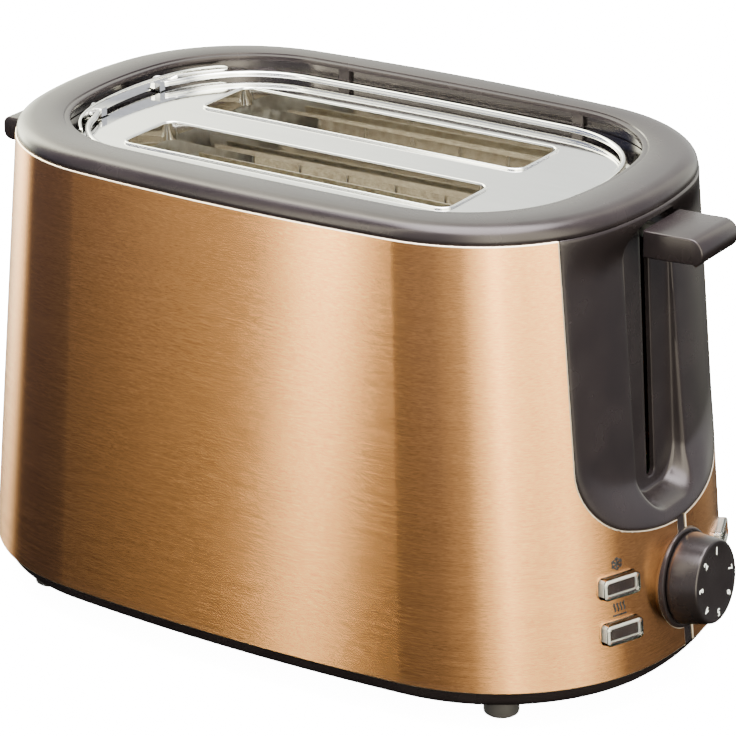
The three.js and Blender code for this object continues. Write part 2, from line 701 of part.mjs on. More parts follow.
class Helix extends THREE.Curve {
  constructor(radius, turns, height) {
    super();
    Object.assign(this, { radius, turns, height });
  }

  getPoint(t) {
    const angle = 2 * Math.PI * this.turns * t;
    return new THREE.Vector3(this.radius * Math.cos(angle), this.radius * Math.sin(angle), this.height * t);
  }
}

const circle = (radius, sides) => new THREE.Shape(Array.from({ length: sides }, (_, i) => new THREE.Vector2(
  radius * Math.cos((2 * Math.PI * i) / sides), radius * Math.sin((2 * Math.PI * i) / sides))));

function carriageSpring() {
  const wire = 0.55;
  const turns = 6;
  const geometry = new THREE.ExtrudeGeometry(circle(wire, 5), {
    steps: turns * 8,
    extrudePath: new Helix(3.6, turns, 31.3 - 2 * wire),
  });
  return named('carriage_spring', solid(geometry), steel, guideRod.x, -guideRod.y, 131.8 + wire);
}

function holdingMagnet() {
  const core = post(0, 0, 20, 41.9, 4);
  const winding = post(0, 0, 22, 38, 7.5).subtract(post(0, 0, 10, 50, 4 + gap));
  return [named('magnet_core', core, steel, 84, 0.5, 0), named('magnet_coil', winding, coil, 84, 0.5, 0)];
}

// ---------------------------------------------------------------- controls

function controlBoard() {
  return named('control_board', box(97, 98.6, -48, 48, 22, 60), board);
}

function browningControl() {
  const frame = knobFrame();
  const shaftRadius = 3;
  const seat = 7;
  const { standOff, baseRadius, faceRadius, height } = knob;
  const dial = turned([
    [0, seat + gap], [shaftRadius + gap, seat + gap], [shaftRadius + gap, standOff], [baseRadius - 0.5, standOff],
    [baseRadius, standOff + 0.5], [faceRadius + 0.1, height - 1], [faceRadius - 0.25, height - 0.25],
    [faceRadius - 1, height], [0, height],
  ], 36);
  frame.add(
    named('browning_knob', dial, blackPlastic),
    named('browning_shaft', bar(-23.7, seat, 0, 0, shaftRadius, shaftRadius, 20), steel),
    named('potentiometer', box(-31, -24, -8, 8, -8, 8), board),
  );
  return frame;
}

// A clear cap over a dark core that reaches back to its switch.
function pushButton(place) {
  const frame = buttonFrame(place);
  const { width, height, depth, stem } = button;
  const wall = 1.7;
  const pocket = prismX(roundedRectangle(width - 2 * wall, height - 2 * wall, 0.8, 2), -5, depth - 0.8);
  const cap = prismX(roundedRectangle(width, height, 1.6, 4), -2.5, depth, 0.5).subtract(pocket);
  const window = roundedRectangle(width - 2 * wall - 2 * gap, height - 2 * wall - 2 * gap, 0.5, 2);
  const core = union(prismX(window, -2.4, depth - 0.8 - gap), box(2.6 - stem, -2.3, -1.5, 1.5, -1.5, 1.5));
  frame.add(
    named(`${place.name}_button_cap`, cap, clearPlastic),
    named(`${place.name}_button_core`, core, coreBrown),
    named(`${place.name}_switch`, box(-22.3, -stem - 0.6, -3, 3, -3, 3), rubber),
  );
  return frame;
}

// ---------------------------------------------------------------- bun warming rack

const bunSlot = { halfWidth: 3.4, bottom: bun.leverBottom - bun.travel - 0.6, top: bun.leverTop + 1.6 };

// The wire follows the recess and stops on each side of the lifting bracket.
function wireRack() {
  const section = grownOpening(-bun.inset);
  const loop = outline(section);
  const start = loop.length / 2;
  const ordered = [...loop.slice(start), ...loop.slice(0, start)].filter((p) => p.x > 0 || Math.abs(p.y) > 24);
  const ends = [-1, 1].map((side) => new THREE.Vector2(bun.legX + 1.2, side * 20.2));
  const points = [ends[0], ...ordered, ends[1]].map((p) => new THREE.Vector3(p.x, p.y, 0));
  const path = new THREE.CatmullRomCurve3(points, false, 'centripetal');
  const geometry = new THREE.ExtrudeGeometry(circle(bun.wire, 6), { steps: 60, extrudePath: path });
  return named('wire_rack', solid(geometry), chrome, 0, 0, bun.wireZ);
}

// A straight toothed bar: teeth point to +side in X from the root line, gaps centred on the pinion.
function toothedBar(rootX, backX, side, z0, z1) {
  const points = [new THREE.Vector2(backX, z0), new THREE.Vector2(rootX, z0)];
  const first = Math.ceil((z0 + 1.2 - pinion.z) / pitch - 0.5);
  for (let i = first; pinion.z + (i + 0.5) * pitch < z1 - 1.2; i += 1) {
    const z = pinion.z + (i + 0.5) * pitch;
    points.push(new THREE.Vector2(rootX, z - 0.95), new THREE.Vector2(rootX + side * 1.9, z - 0.35));
    points.push(new THREE.Vector2(rootX + side * 1.9, z + 0.35), new THREE.Vector2(rootX, z + 0.95));
  }
  points.push(new THREE.Vector2(rootX, z1), new THREE.Vector2(backX, z1));
  return prismY(points, pinion.thickness / 2, 0);
}

function rackBracket() {
  const x = bun.legX;
  const back = x + 2.2;
  const shape = union(
    toothedBar(x - 0.3, back, -1, 80, 129),
    box(x, back, -20, 20, 128, 133),
    ...[-1, 1].map((side) => box(x, back, side * 18 - 1.6, side * 18 + 1.6, 132, bun.wireZ + bun.wire)),
  );
  return named('rack_bracket', shape, chrome);
}

function bunLever() {
  const { leverBottom, leverTop } = bun;
  const barX = pinion.x - 8 - 1.1;
  const handle = roundedRectangle(15.3, leverTop - leverBottom, 3.2, 5);
  const slabPiece = prismY(shifted(handle, -139.65, (leverTop + leverBottom) / 2), 12, 0.5);
  const shape = union(
    slabPiece,
    box(-133, barX - 1, -2.4, 2.4, leverBottom + 1.5, leverTop - 2.5),
    toothedBar(barX, barX - 2.4, 1, 113.5, leverTop),
  );
  return named('bun_lever', shape, blackPlastic);
}

function rackPinion() {
  const points = [];
  for (let i = 0; i < pinion.teeth; i += 1) {
    for (const [offset, radius] of [[-0.5, 6.8], [-0.26, 6.8], [-0.1, 8.85], [0.1, 8.85], [0.26, 6.8]]) {
      const angle = (2 * Math.PI * (i + offset)) / pinion.teeth;
      points.push(new THREE.Vector2(radius * Math.cos(angle), radius * Math.sin(angle)));
    }
  }
  const shape = union(prismY(points, pinion.thickness / 2, 0), acrossBar(0, 0, 7, 2, 16));
  return named('rack_pinion', shape, steel, pinion.x, 0, pinion.z);
}

// A raised frame around the lever's slot in the rear end.
function bunLeverBezel() {
  const lower = bunSlot.bottom - 5;
  const upper = bunSlot.top + 5;
  const plateShape = patch(8, 7, (up, across) => {
    const z = THREE.MathUtils.lerp(lower, upper, up);
    const y = THREE.MathUtils.lerp(7, -7, across);
    const x = -endX(y, z);
    return [new THREE.Vector3(x - 1.4, y, z), new THREE.Vector3(x - gap, y, z)];
  });
  const slot = box(-160, -100, -bunSlot.halfWidth, bunSlot.halfWidth, bunSlot.bottom, bunSlot.top);
  return named('bun_lever_bezel', plateShape.subtract(slot), blackPlastic);
}

// ---------------------------------------------------------------- assembly

const carriage = new THREE.Group();
carriage.add(carriageBracket(), armaturePlate(), leverHandle(), ...breadSupports());

const toaster = new THREE.Group();
toaster.add(
  basePan(), steelWrap(), endPanel(), topRing(), topPlate(),
  chassisFront(), chassisRear(), ...reflectors(), ...heaterCards(), ...heatingRibbons(), ...breadGuards(),
  carriage, guideRodPiece(), carriageSpring(), ...holdingMagnet(),
  controlBoard(), browningControl(), ...buttonPlaces.map(pushButton),
  wireRack(), rackBracket(), bunLever(), rackPinion(), bunLeverBezel(),
  crumbTray(), ...feet(), ...baseScrews(), cordGland(),
);

// The origin is on the floor under the middle of the whole object.
toaster.updateMatrixWorld(true);
const middle = new THREE.Box3().setFromObject(toaster).getCenter(new THREE.Vector3());
toaster.position.set(-middle.x, -middle.y, 0);

export default toaster;
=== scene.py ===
# Looks for the pop up toaster: detailed outer pieces, materials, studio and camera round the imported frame.
# Dimensions are millimetres in the part's own drawing frame; place() turns them into metres in the row frame.

import math

import bmesh
import bpy
from mathutils import Matrix, Vector


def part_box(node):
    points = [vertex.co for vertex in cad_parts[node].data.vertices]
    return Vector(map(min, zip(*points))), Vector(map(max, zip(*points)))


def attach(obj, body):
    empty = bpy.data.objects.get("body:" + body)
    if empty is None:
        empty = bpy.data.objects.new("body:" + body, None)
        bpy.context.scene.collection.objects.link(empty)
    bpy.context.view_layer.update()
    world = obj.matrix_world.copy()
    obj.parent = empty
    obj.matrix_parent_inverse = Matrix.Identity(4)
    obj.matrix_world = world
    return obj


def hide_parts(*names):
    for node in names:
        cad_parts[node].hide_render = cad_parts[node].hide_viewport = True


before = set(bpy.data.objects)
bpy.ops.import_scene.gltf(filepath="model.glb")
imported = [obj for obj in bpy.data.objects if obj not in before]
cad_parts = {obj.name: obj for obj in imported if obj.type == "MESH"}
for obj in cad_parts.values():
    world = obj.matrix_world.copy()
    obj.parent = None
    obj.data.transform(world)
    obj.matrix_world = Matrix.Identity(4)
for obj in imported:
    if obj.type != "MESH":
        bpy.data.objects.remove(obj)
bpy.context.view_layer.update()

# ---------------------------------------------------------------- driving dimensions

MM = 0.001
GAP = 0.3
SHEET = 0.8

# Play that keeps rounding from leaving a point between two arcs.
ANGLE_PLAY = 1e-6

BOTTOM = {"z": 15.0, "half_length": 140.0, "half_width": 85.4, "corner": 74.7}
TOP = {"z": 172.7, "half_length": 123.2, "half_width": 79.6, "corner": 62.5}
SIDE_BOW = 812.0
END_BOW = 143.0
BODY_HEIGHT = TOP["z"] - BOTTOM["z"]
TILT = math.atan((BOTTOM["half_length"] - TOP["half_length"]) / BODY_HEIGHT)

OPENING = {"half_length": 102.7, "half_width": 61.9, "corner": 46.5, "side_bow": 1800.0, "end_bow": 127.0}
RING_TOP = 178.9
SEAM_GAP = 0.05
RING_SEAM = TOP["z"] + SEAM_GAP
SKIRT_BOTTOM = 167.5
UNDERCUT = 4.4
PLATE_TOP = 171.0

PANEL = {"half_width": 48.5, "bottom": 61.8, "bow": 96.0, "corner": 26.0, "thickness": 2.2}
PANEL_DISH = {"depth": 6.5, "low_blend": 17.0, "top_blend": 15.0}
PANEL_TOP = TOP["z"] - SEAM_GAP
CORNER_Y = PANEL["half_width"] - PANEL["corner"]
BOW_Z = PANEL["bottom"] + PANEL["bow"]
CORNER_Z = BOW_Z - math.sqrt((PANEL["bow"] - PANEL["corner"]) ** 2 - CORNER_Y ** 2)
JOIN_ANGLE = math.asin(CORNER_Y / (PANEL["bow"] - PANEL["corner"]))
STRIP_HALF = 2.9
FLOOR_TOP = (158.7, 117.1)
FLOOR_BOTTOM = (79.3, 122.3)
CHANNEL = {"half_width": 15.8, "bottom": 70.5, "top": 169.5, "corner": 12.0, "draft": 0.35, "wall": 1.8}
SLOT = {"half_width": 2.7, "bottom": 74.2, "top": 167.6, "corner": 2.4}

KNOB_Z = 39.2
KNOB_SEAT = 17.7
BUTTON = {"width": 15.8, "height": 7.6, "depth": 2.8, "corner": 1.6}
BUTTON_PLACES = {"defrost": (-36.4, 49.0), "reheat": (-36.4, 32.4), "stop": (35.0, 40.7)}
BREAD_SLOT = {"centre_x": -5.0, "centre_y": 24.3, "length": 134.0, "width": 28.0, "corner": 4.0}
BUN_SLOT = {"half_width": 3.4, "bottom": 152 - 11 * math.pi - 0.6, "top": 162.6}
WIRE_RADIUS = 1.15
WIRE_Z = 173.25
GUIDE_ROD_X = 80.0
FOOT_PLACES = [(97.0, -56.0), (97.0, 56.0), (-97.0, -56.0), (-97.0, 56.0)]
PINION_Z = 120.0
BEZEL = {"half_width": 7.0, "margin": 5.0, "corner": 3.0}
RECESS_BAND = (171.2, 176.7)
PLATE_SHEET = 1.2
SKIRT_STOP_X = 112.0
STRIP_ROOM = STRIP_HALF + GAP

# How far up its wall the channel's rounded foot reaches.
FILLET_SHARE = 0.22

# Where the lever's round nose begins, in degrees.
NOSE_START = -69.95

ROD_LOW, ROD_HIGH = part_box("guide_rod")
SHIFT = (ROD_LOW.x + ROD_HIGH.x) / 2 / MM - GUIDE_ROD_X


def place(point):
    return Vector(((point[0] + SHIFT) * MM, point[1] * MM, point[2] * MM))


def lerp(a, b, t):
    return a + (b - a) * t


def mirrored(points):
    """The points after the first, mirrored across the middle and in reverse order."""
    return [(-a, b) for a, b in reversed(points[1:])]


def circle(radius, sides):
    turn = [2 * math.pi * k / sides for k in range(sides)]
    return [(radius * math.cos(t), radius * math.sin(t)) for t in turn]


def arc(x, y, radius, start, stop, steps):
    """Points round (x, y) from one angle in degrees to another, with both ends."""
    angles = [math.radians(lerp(start, stop, i / steps)) for i in range(steps + 1)]
    return [(x + radius * math.cos(a), y + radius * math.sin(a)) for a in angles]


def bulge(steps):
    """How far a quarter turn has run in and up after each step, as shares of its two half axes."""
    angles = [math.radians(90 * i / steps) for i in range(steps + 1)]
    return [(1 - math.cos(a), math.sin(a)) for a in angles]


def between(first, second, t):
    """Two outlines with as many points, mixed point by point."""
    return [(lerp(a[0], b[0], t), lerp(a[1], b[1], t)) for a, b in zip(first, second)]


def crosswise(points, i):
    """The direction square to a flat path at one of its points."""
    before, after = points[max(i - 1, 0)], points[min(i + 1, len(points) - 1)]
    along = Vector((after[0] - before[0], after[1] - before[1])).normalized()
    return Vector((-along.y, along.x))


def smoothstep(value, low, high):
    t = min(1.0, max(0.0, (value - low) / (high - low)))
    return t * t * (3 - 2 * t)


# ---------------------------------------------------------------- body outline

def quarter_arcs(section):
    """End, corner and side arc of one quarter of the oval: centre, radius, start and end angle of each."""
    side = Vector((0, section["half_width"] - section["side_bow"]))
    end = Vector((section["half_length"] - section["end_bow"], 0))
    corner = section["corner"]
    span = end - side
    distance = span.length
    side_reach = section["side_bow"] - corner
    end_reach = section["end_bow"] - corner
    along = (side_reach ** 2 - end_reach ** 2 + distance ** 2) / (2 * distance)
    across = math.sqrt(side_reach ** 2 - along ** 2)
    span.normalize()
    middle = side + Vector((span.x * along + span.y * across, span.y * along - span.x * across))
    end_angle = math.atan2(middle.y - end.y, middle.x - end.x)
    side_angle = math.atan2(middle.y - side.y, middle.x - side.x)
    return [
        (end, section["end_bow"], 0.0, end_angle),
        (middle, corner, end_angle, side_angle),
        (side, section["side_bow"], side_angle, math.pi / 2),
    ]


def outline(section, steps=(10, 26, 14)):
    """The whole oval as (x, y) points, counter-clockwise from the control end."""
    quarter = []
    for (centre, radius, start, stop), count in zip(quarter_arcs(section), steps):
        angles = [lerp(start, stop, i / count) for i in range(count)]
        quarter += [(centre.x + radius * math.cos(a), centre.y + radius * math.sin(a)) for a in angles]
    upper = quarter + [(0.0, section["half_width"])] + mirrored(quarter[1:])
    return upper + [(-x, -y) for x, y in upper]


def body_section(z, inset=0.0):
    """The body's oval at one height, drawn in by an inset."""
    mix = (z - BOTTOM["z"]) / BODY_HEIGHT
    section = {key: lerp(BOTTOM[key], TOP[key], mix) for key in ("half_length", "half_width", "corner")}
    section.update(side_bow=SIDE_BOW, end_bow=END_BOW)
    return {key: value - inset for key, value in section.items()}


def grown_opening(by):
    """The ring's inner opening made larger all round."""
    return {key: value + by for key, value in OPENING.items()}


def level(section, z):
    """The oval as a loop at one height."""
    return [(x, y, z) for x, y in outline(section)]


def end_x(y, z):
    """Where the control end of the body lies at a place across and up."""
    end, corner = quarter_arcs(body_section(z))[:2]
    reach = abs(y)
    centre, radius = (end if reach < end[1] * math.sin(end[3]) else corner)[:2]
    return centre.x + math.sqrt(radius ** 2 - (reach - centre.y) ** 2)


def body_normal(x, y, z):
    """Outward direction of the tapered body surface."""
    nearest, angle = math.inf, math.pi / 2
    for centre, radius, start, stop in quarter_arcs(body_section(z)):
        offset = Vector((abs(x), abs(y))) - centre
        direction = math.atan2(offset.y, offset.x)
        error = abs(offset.length - radius)
        if start - ANGLE_PLAY <= direction <= stop + ANGLE_PLAY and error < nearest:
            nearest, angle = error, direction
    across = math.copysign(math.cos(angle), x)
    along = math.copysign(math.sin(angle), y)
    side_taper = BOTTOM["half_width"] - TOP["half_width"]
    end_taper = BOTTOM["half_length"] - TOP["half_length"]
    return Vector((across, along, lerp(side_taper, end_taper, abs(across)) / BODY_HEIGHT)).normalized()


def face_frame(y, z, angle=0.0):
    """A frame square on the sloping control end: local X points out of the body, Z up."""
    origin = Vector((end_x(y, z), y, z))
    return Matrix.Translation(origin) @ Matrix.Rotation(angle, 4, "Z") @ Matrix.Rotation(-TILT, 4, "Y")


def button_frame(name):
    y, z = BUTTON_PLACES[name]
    centre, radius = quarter_arcs(body_section(z))[1][:2]
    return face_frame(y, z, math.copysign(math.asin((abs(y) - centre.y) / radius), y))


# ---------------------------------------------------------------- mesh building

def linked(name, data):
    """A new object in the scene."""
    made = bpy.data.objects.new(name, data)
    bpy.context.scene.collection.objects.link(made)
    return made


def piece(name, points, faces, material, matrix=None, crease=32):
    """A mesh object from millimetre points; matrix is the millimetre frame that they are drawn in."""
    drawn_in_frame = matrix or Matrix.Identity(4)
    mesh = bpy.data.meshes.new(name)
    mesh.from_pydata([place(drawn_in_frame @ Vector(p)) for p in points], [], faces)
    made = linked(name, mesh)
    mesh.materials.append(material)
    clean(made)
    smooth(made, crease)
    return made


def clean(made):
    work = bmesh.new()
    work.from_mesh(made.data)
    bmesh.ops.remove_doubles(work, verts=work.verts, dist=1e-7)
    bmesh.ops.recalc_face_normals(work, faces=work.faces)
    work.to_mesh(made.data)
    work.free()


def smooth(made, crease=32):
    """Smooth shading with sharp edges where faces meet at more than the crease angle."""
    made.data.polygons.foreach_set("use_smooth", [True] * len(made.data.polygons))
    made.data.set_sharp_from_angle(angle=math.radians(crease))


def grid_faces(rows, columns, close_rows):
    """The quads between rows of points, each row being a closed loop."""
    faces = []
    for row in range(rows if close_rows else rows - 1):
        here, above = row * columns, (row + 1) % rows * columns
        for column in range(columns):
            beside = (column + 1) % columns
            faces.append((here + column, here + beside, above + beside, above + column))
    return faces


def lofted(loops, close=False):
    """Points and faces of a skin over closed loops; close joins the last loop to the first."""
    count = len(loops[0])
    faces = grid_faces(len(loops), count, close)
    if not close:
        faces.append(tuple(range(count)))
        faces.append(tuple(range((len(loops) - 1) * count, len(loops) * count)))
    return [p for loop in loops for p in loop], faces


def tube(path, radius, closed=False, sides=12):
    """Points and faces of a round wire along a path, with hemispherical ends when it is open."""
    points = [Vector(p) for p in path]
    count = len(points)
    tangents = []
    for i, here in enumerate(points):
        before = points[i - 1] if closed or i else here
        after = points[(i + 1) % count] if closed or i + 1 < count else here
        tangents.append((after - before).normalized())
    side = tangents[0].orthogonal().normalized()
    sections = []
    for here, along in zip(points, tangents):
        side = (side - along * side.dot(along)).normalized()
        sections.append((here, side, along.cross(side), 1.0))
    if not closed:
        caps = (0.95, 0.75, 0.4)
        here, a, b, _ = sections[0]
        head = [(here - tangents[0] * radius * s, a, b, math.sqrt(1 - s * s)) for s in caps]
        here, a, b, _ = sections[-1]
        tail = [(here + tangents[-1] * radius * s, a, b, math.sqrt(1 - s * s)) for s in reversed(caps)]
        sections = head + sections + tail
    ring = circle(radius, sides)
    loops = [[here + (a * u + b * v) * share for u, v in ring] for here, a, b, share in sections]
    return lofted(loops, closed)


def curve_through(points, steps):
    """A smooth path through points, each stretch cut into steps."""
    points = [Vector(p) for p in points]
    padded = [2 * points[0] - points[1]] + points + [2 * points[-1] - points[-2]]
    path = []
    for a, b, c, d in zip(padded, padded[1:], padded[2:], padded[3:]):
        for i in range(steps):
            t = i / steps
            path.append(0.5 * (2 * b + (c - a) * t + (2 * a - 5 * b + 4 * c - d) * t ** 2
                               + (3 * b - a - 3 * c + d) * t ** 3))
    return path + [points[-1]]


def rounded_rectangle(width, height, radius, steps=8):
    points = []
    for sx, sy, start in ((1, 1, 0), (-1, 1, 90), (-1, -1, 180), (1, -1, 270)):
        points += arc(sx * (width / 2 - radius), sy * (height / 2 - radius), radius, start, start + 90, steps)
    return points


def turned(profile, sides=96, hollow=False):
    """A turned piece about local X from (radius, x) points: solid to the axis, or hollow as a closed ring."""
    return lofted([[(x, y, z) for y, z in circle(radius, sides)] for radius, x in profile], hollow)


def box_faces(x0, x1, y0, y1, z0, z1):
    points = [(x, y, z) for z in (z0, z1) for x, y in ((x0, y0), (x1, y0), (x1, y1), (x0, y1))]
    faces = [(0, 3, 2, 1), (4, 5, 6, 7), (0, 1, 5, 4), (1, 2, 6, 5), (2, 3, 7, 6), (3, 0, 4, 7)]
    return points, faces


def cut(target, cutters):
    """Subtracts the cutters from the target and removes them."""
    for cutter in cutters:
        modifier = target.modifiers.new("cut", "BOOLEAN")
        modifier.object = cutter
        modifier.solver = "EXACT"
    bake_modifiers(target)
    for cutter in cutters:
        bpy.data.objects.remove(cutter)


def bake_modifiers(target):
    bpy.context.view_layer.update()
    evaluated = target.evaluated_get(bpy.context.evaluated_depsgraph_get())
    baked = bpy.data.meshes.new_from_object(evaluated)
    target.modifiers.clear()
    target.data = baked


def bevelled(target, width, segments=3):
    modifier = target.modifiers.new("bevel", "BEVEL")
    modifier.width = width * MM
    modifier.segments = segments
    modifier.limit_method = "ANGLE"
    modifier.angle_limit = math.radians(35)
    bake_modifiers(target)
    return target


def joined(name, pieces):
    """Several mesh objects as one."""
    first = pieces[0]
    with bpy.context.temp_override(active_object=first, selected_editable_objects=pieces):
        bpy.ops.object.join()
    first.name = name
    return first


def settle(made, body, slot, *stands_for):
    """Puts a finished piece on its body and hides the frame pieces that it stands for; its material slot is
    not used.
    """
    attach(made, body)
    if stands_for:
        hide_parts(*stands_for)
    return made


# ---------------------------------------------------------------- materials

def new_material(name, color, metallic, roughness):
    """A principled material whose colour and roughness the callers then vary by noise."""
    made = bpy.data.materials.new(name)
    made.use_nodes = True
    shader = made.node_tree.nodes["Principled BSDF"]
    shader.inputs["Base Color"].default_value = (*color, 1)
    shader.inputs["Metallic"].default_value = metallic
    shader.inputs["Roughness"].default_value = roughness
    return made, shader


def add_node(tree, kind, inputs=None, **settings):
    """A new shader node; each of its inputs takes a plain value or another node's output."""
    made = tree.nodes.new(kind)
    for key, value in settings.items():
        setattr(made, key, value)
    for key, value in (inputs or {}).items():
        if isinstance(value, bpy.types.NodeSocket):
            tree.links.new(value, made.inputs[key])
        else:
            made.inputs[key].default_value = value
    return made


def noise(tree, stretch, detail=3.0, roughness=0.5):
    """Noise in object space; stretch gives the number of features per metre along X, Y and Z."""
    at = add_node(tree, "ShaderNodeTexCoord").outputs["Object"]
    scaled = add_node(tree, "ShaderNodeMapping", {"Vector": at, "Scale": stretch}).outputs["Vector"]
    inputs = {"Vector": scaled, "Scale": 1.0, "Detail": detail, "Roughness": roughness}
    return add_node(tree, "ShaderNodeTexNoise", inputs).outputs["Fac"]


def ranged(tree, value, low, high, source=(0.3, 0.7), **settings):
    """The value mapped to run from low to high over its source range."""
    inputs = {"Value": value, "From Min": source[0], "From Max": source[1], "To Min": low, "To Max": high}
    return add_node(tree, "ShaderNodeMapRange", inputs, **settings).outputs["Result"]


def blended(tree, factor, first, second):
    """A colour between two; each is a plain colour or another node's output."""
    inputs = {"Factor": factor, "A": first, "B": second}
    return add_node(tree, "ShaderNodeMix", inputs, data_type="RGBA").outputs["Result"]


def mixed_color(tree, shader, value, first, second):
    tree.links.new(blended(tree, value, (*first, 1), (*second, 1)), shader.inputs["Base Color"])


def bumped(tree, shader, value, depth_mm):
    bump = add_node(tree, "ShaderNodeBump", {"Height": value, "Strength": 1.0, "Distance": depth_mm * MM})
    tree.links.new(bump.outputs["Normal"], shader.inputs["Normal"])


def varied(name, metallic, pattern, colors, roughness, depth_mm=0.0, relief=None, color_source=(0.3, 0.7)):
    """A material whose colour and roughness follow one noise; its relief follows that noise or its own."""
    made, shader = new_material(name, colors[0], metallic, roughness[0])
    tree = made.node_tree
    value = noise(tree, *pattern)
    mixed_color(tree, shader, ranged(tree, value, 0, 1, color_source), *colors)
    tree.links.new(ranged(tree, value, *roughness), shader.inputs["Roughness"])
    if depth_mm:
        bumped(tree, shader, noise(tree, *relief) if relief else value, depth_mm)
    return made, shader


def brushed_copper():
    """Steel with a copper tone, brushed level round the body."""
    made, shader = new_material("brushed_copper", (0.8, 0.34, 0.12), 1.0, 0.24)
    tree = made.node_tree
    shader.inputs["Anisotropic"].default_value = 0.95
    shader.inputs["Anisotropic Rotation"].default_value = 0.25
    tangent = add_node(tree, "ShaderNodeTangent", direction_type="RADIAL", axis="Z")
    tree.links.new(tangent.outputs["Tangent"], shader.inputs["Tangent"])
    fine = noise(tree, (450, 450, 3600), detail=4.0, roughness=0.75)
    long = noise(tree, (60, 60, 1500), detail=2.0)
    mixed_color(tree, shader, ranged(tree, fine, 0, 1), (0.62, 0.262, 0.090), (0.94, 0.440, 0.165))
    tree.links.new(ranged(tree, long, 0.17, 0.21), shader.inputs["Roughness"])
    bumped(tree, shader, fine, 0.006)
    return made


def satin_plastic(name, color, lighter, roughness, shine=0.5):
    """Moulded plastic with a fine spark-eroded texture."""
    spread = (roughness - 0.03, roughness + 0.04)
    grain = ((2400, 2400, 2400), 2.0)
    made, shader = varied(name, 0.0, [(60, 60, 60)], (color, lighter), spread, 0.012, grain)
    shader.inputs["Specular IOR Level"].default_value = shine
    shader.inputs["Specular Tint"].default_value = (1.0, 0.88, 0.90, 1.0)
    return made


def polished_metal(name, color, roughness, smear):
    """Bright metal with faint wiping marks."""
    darker = [channel * 0.92 for channel in color]
    marks = ((40, 500, 500), 4.0, 0.6)
    dents = ((30, 30, 30), 1.0)
    return varied(name, 1.0, marks, (darker, color), (roughness, roughness + smear), 0.02, dents)[0]


def dull_steel():
    """Zinc plated sheet with cloudy spangle."""
    spangle = ((260, 260, 260), 2.0)
    rolling = ((3000, 3000, 400), 2.0)
    tones = ((0.42, 0.41, 0.40), (0.60, 0.59, 0.57))
    return varied("dull_steel", 1.0, spangle, tones, (0.32, 0.52), 0.01, rolling)[0]


def mica_sheet():
    flakes = ((420, 420, 420), 5.0, 0.7)
    return varied("mica_sheet", 0.0, flakes, ((0.26, 0.20, 0.13), (0.56, 0.48, 0.34)), (0.35, 0.7), 0.06)[0]


def heated_ribbon():
    scale = ((500, 500, 500), 3.0)
    return varied("heated_ribbon", 0.9, scale, ((0.12, 0.10, 0.10), (0.34, 0.28, 0.25)), (0.4, 0.65), 0.02)[0]


def clear_plastic():
    """Clear moulded cap; faint flow lines keep it from looking perfect."""
    made, shader = new_material("clear_plastic", (0.97, 0.97, 0.96), 0.0, 0.06)
    tree = made.node_tree
    shader.inputs["Transmission Weight"].default_value = 1.0
    shader.inputs["IOR"].default_value = 1.49
    flow = noise(tree, (160, 160, 160), detail=2.0)
    tree.links.new(ranged(tree, flow, 0.03, 0.09), shader.inputs["Roughness"])
    bumped(tree, shader, flow, 0.05)
    return made


def solder_board():
    tracks = ((120, 420, 420), 1.0)
    greens = ((0.015, 0.09, 0.04), (0.04, 0.17, 0.07))
    return varied("solder_board", 0.0, tracks, greens, (0.3, 0.5), 0.05, color_source=(0.48, 0.52))[0]


def wound_copper():
    turns = ((80, 80, 4000), 1.0)
    return varied("wound_copper", 0.8, turns, ((0.34, 0.10, 0.04), (0.62, 0.26, 0.11)), (0.3, 0.45), 0.1)[0]


def printed(name, color):
    """Matt pad-printed ink, very slightly uneven."""
    lighter = [channel * 0.8 + 0.03 for channel in color]
    made, shader = varied(name, 0.0, ((900, 900, 900), 2.0), (color, lighter), (0.42, 0.58))
    shader.inputs["Specular IOR Level"].default_value = 0.1
    return made


COPPER = brushed_copper()
# Paler than the copper: painted highlight for the bright line along the sheet's rounded edges.
COPPER_EDGE_HIGHLIGHT = polished_metal("copper_edge_highlight", (0.96, 0.78, 0.60), 0.32, 0.1)
BLACK = satin_plastic("satin_black", (0.010, 0.0074, 0.0083), (0.014, 0.0104, 0.0113), 0.25, shine=0.33)
KNOB_BLACK = satin_plastic("knob_black", (0.008, 0.0062, 0.0068), (0.012, 0.0095, 0.0102), 0.25, shine=0.34)
# Darker than satin_black: painted shade for the unlit hollow behind the lifting wire.
RECESS_SHADE = satin_plastic("recess_painted_shade", (0.007, 0.0055, 0.006), (0.011, 0.009, 0.0095), 0.15)
CHROME = polished_metal("chrome", (0.86, 0.85, 0.84), 0.04, 0.05)
STEEL = dull_steel()
MICA = mica_sheet()
RIBBON = heated_ribbon()
CLEAR = clear_plastic()
CORE = satin_plastic("button_brown", (0.014, 0.007, 0.006), (0.020, 0.010, 0.009), 0.3, shine=0.2)
# Pale plastic behind the clear cap's wall: painted highlight standing in for the white shine on the cap's
# sides.
RIM_HIGHLIGHT = satin_plastic("painted_rim_highlight", (0.42, 0.39, 0.37), (0.62, 0.59, 0.57), 0.16)
BOARD = solder_board()
WINDING = wound_copper()
RUBBER = satin_plastic("foot_rubber", (0.014, 0.013, 0.013), (0.024, 0.022, 0.022), 0.7)
INK_DARK = printed("dark_ink", (0.010, 0.006, 0.005))
INK_WHITE = printed("white_ink", (0.85, 0.85, 0.85))


# ---------------------------------------------------------------- steel wrap

HEM_RADIUS = SHEET / 2
CUT_PLAY = GAP + 0.1
# How far cutters stand past the body, inside and outside it.
CUT_PAST = 1.0
END_CUT = (100.0, 160.0)
SEAT_REACH = 15.0
BUTTON_REACH = 6.0
BASE_CUT = (0.0, 12.0)
PLATE_CUT = 10.0
# A face whose normal is this close to the body's own lies on the body surface.
ON_SURFACE = 0.94


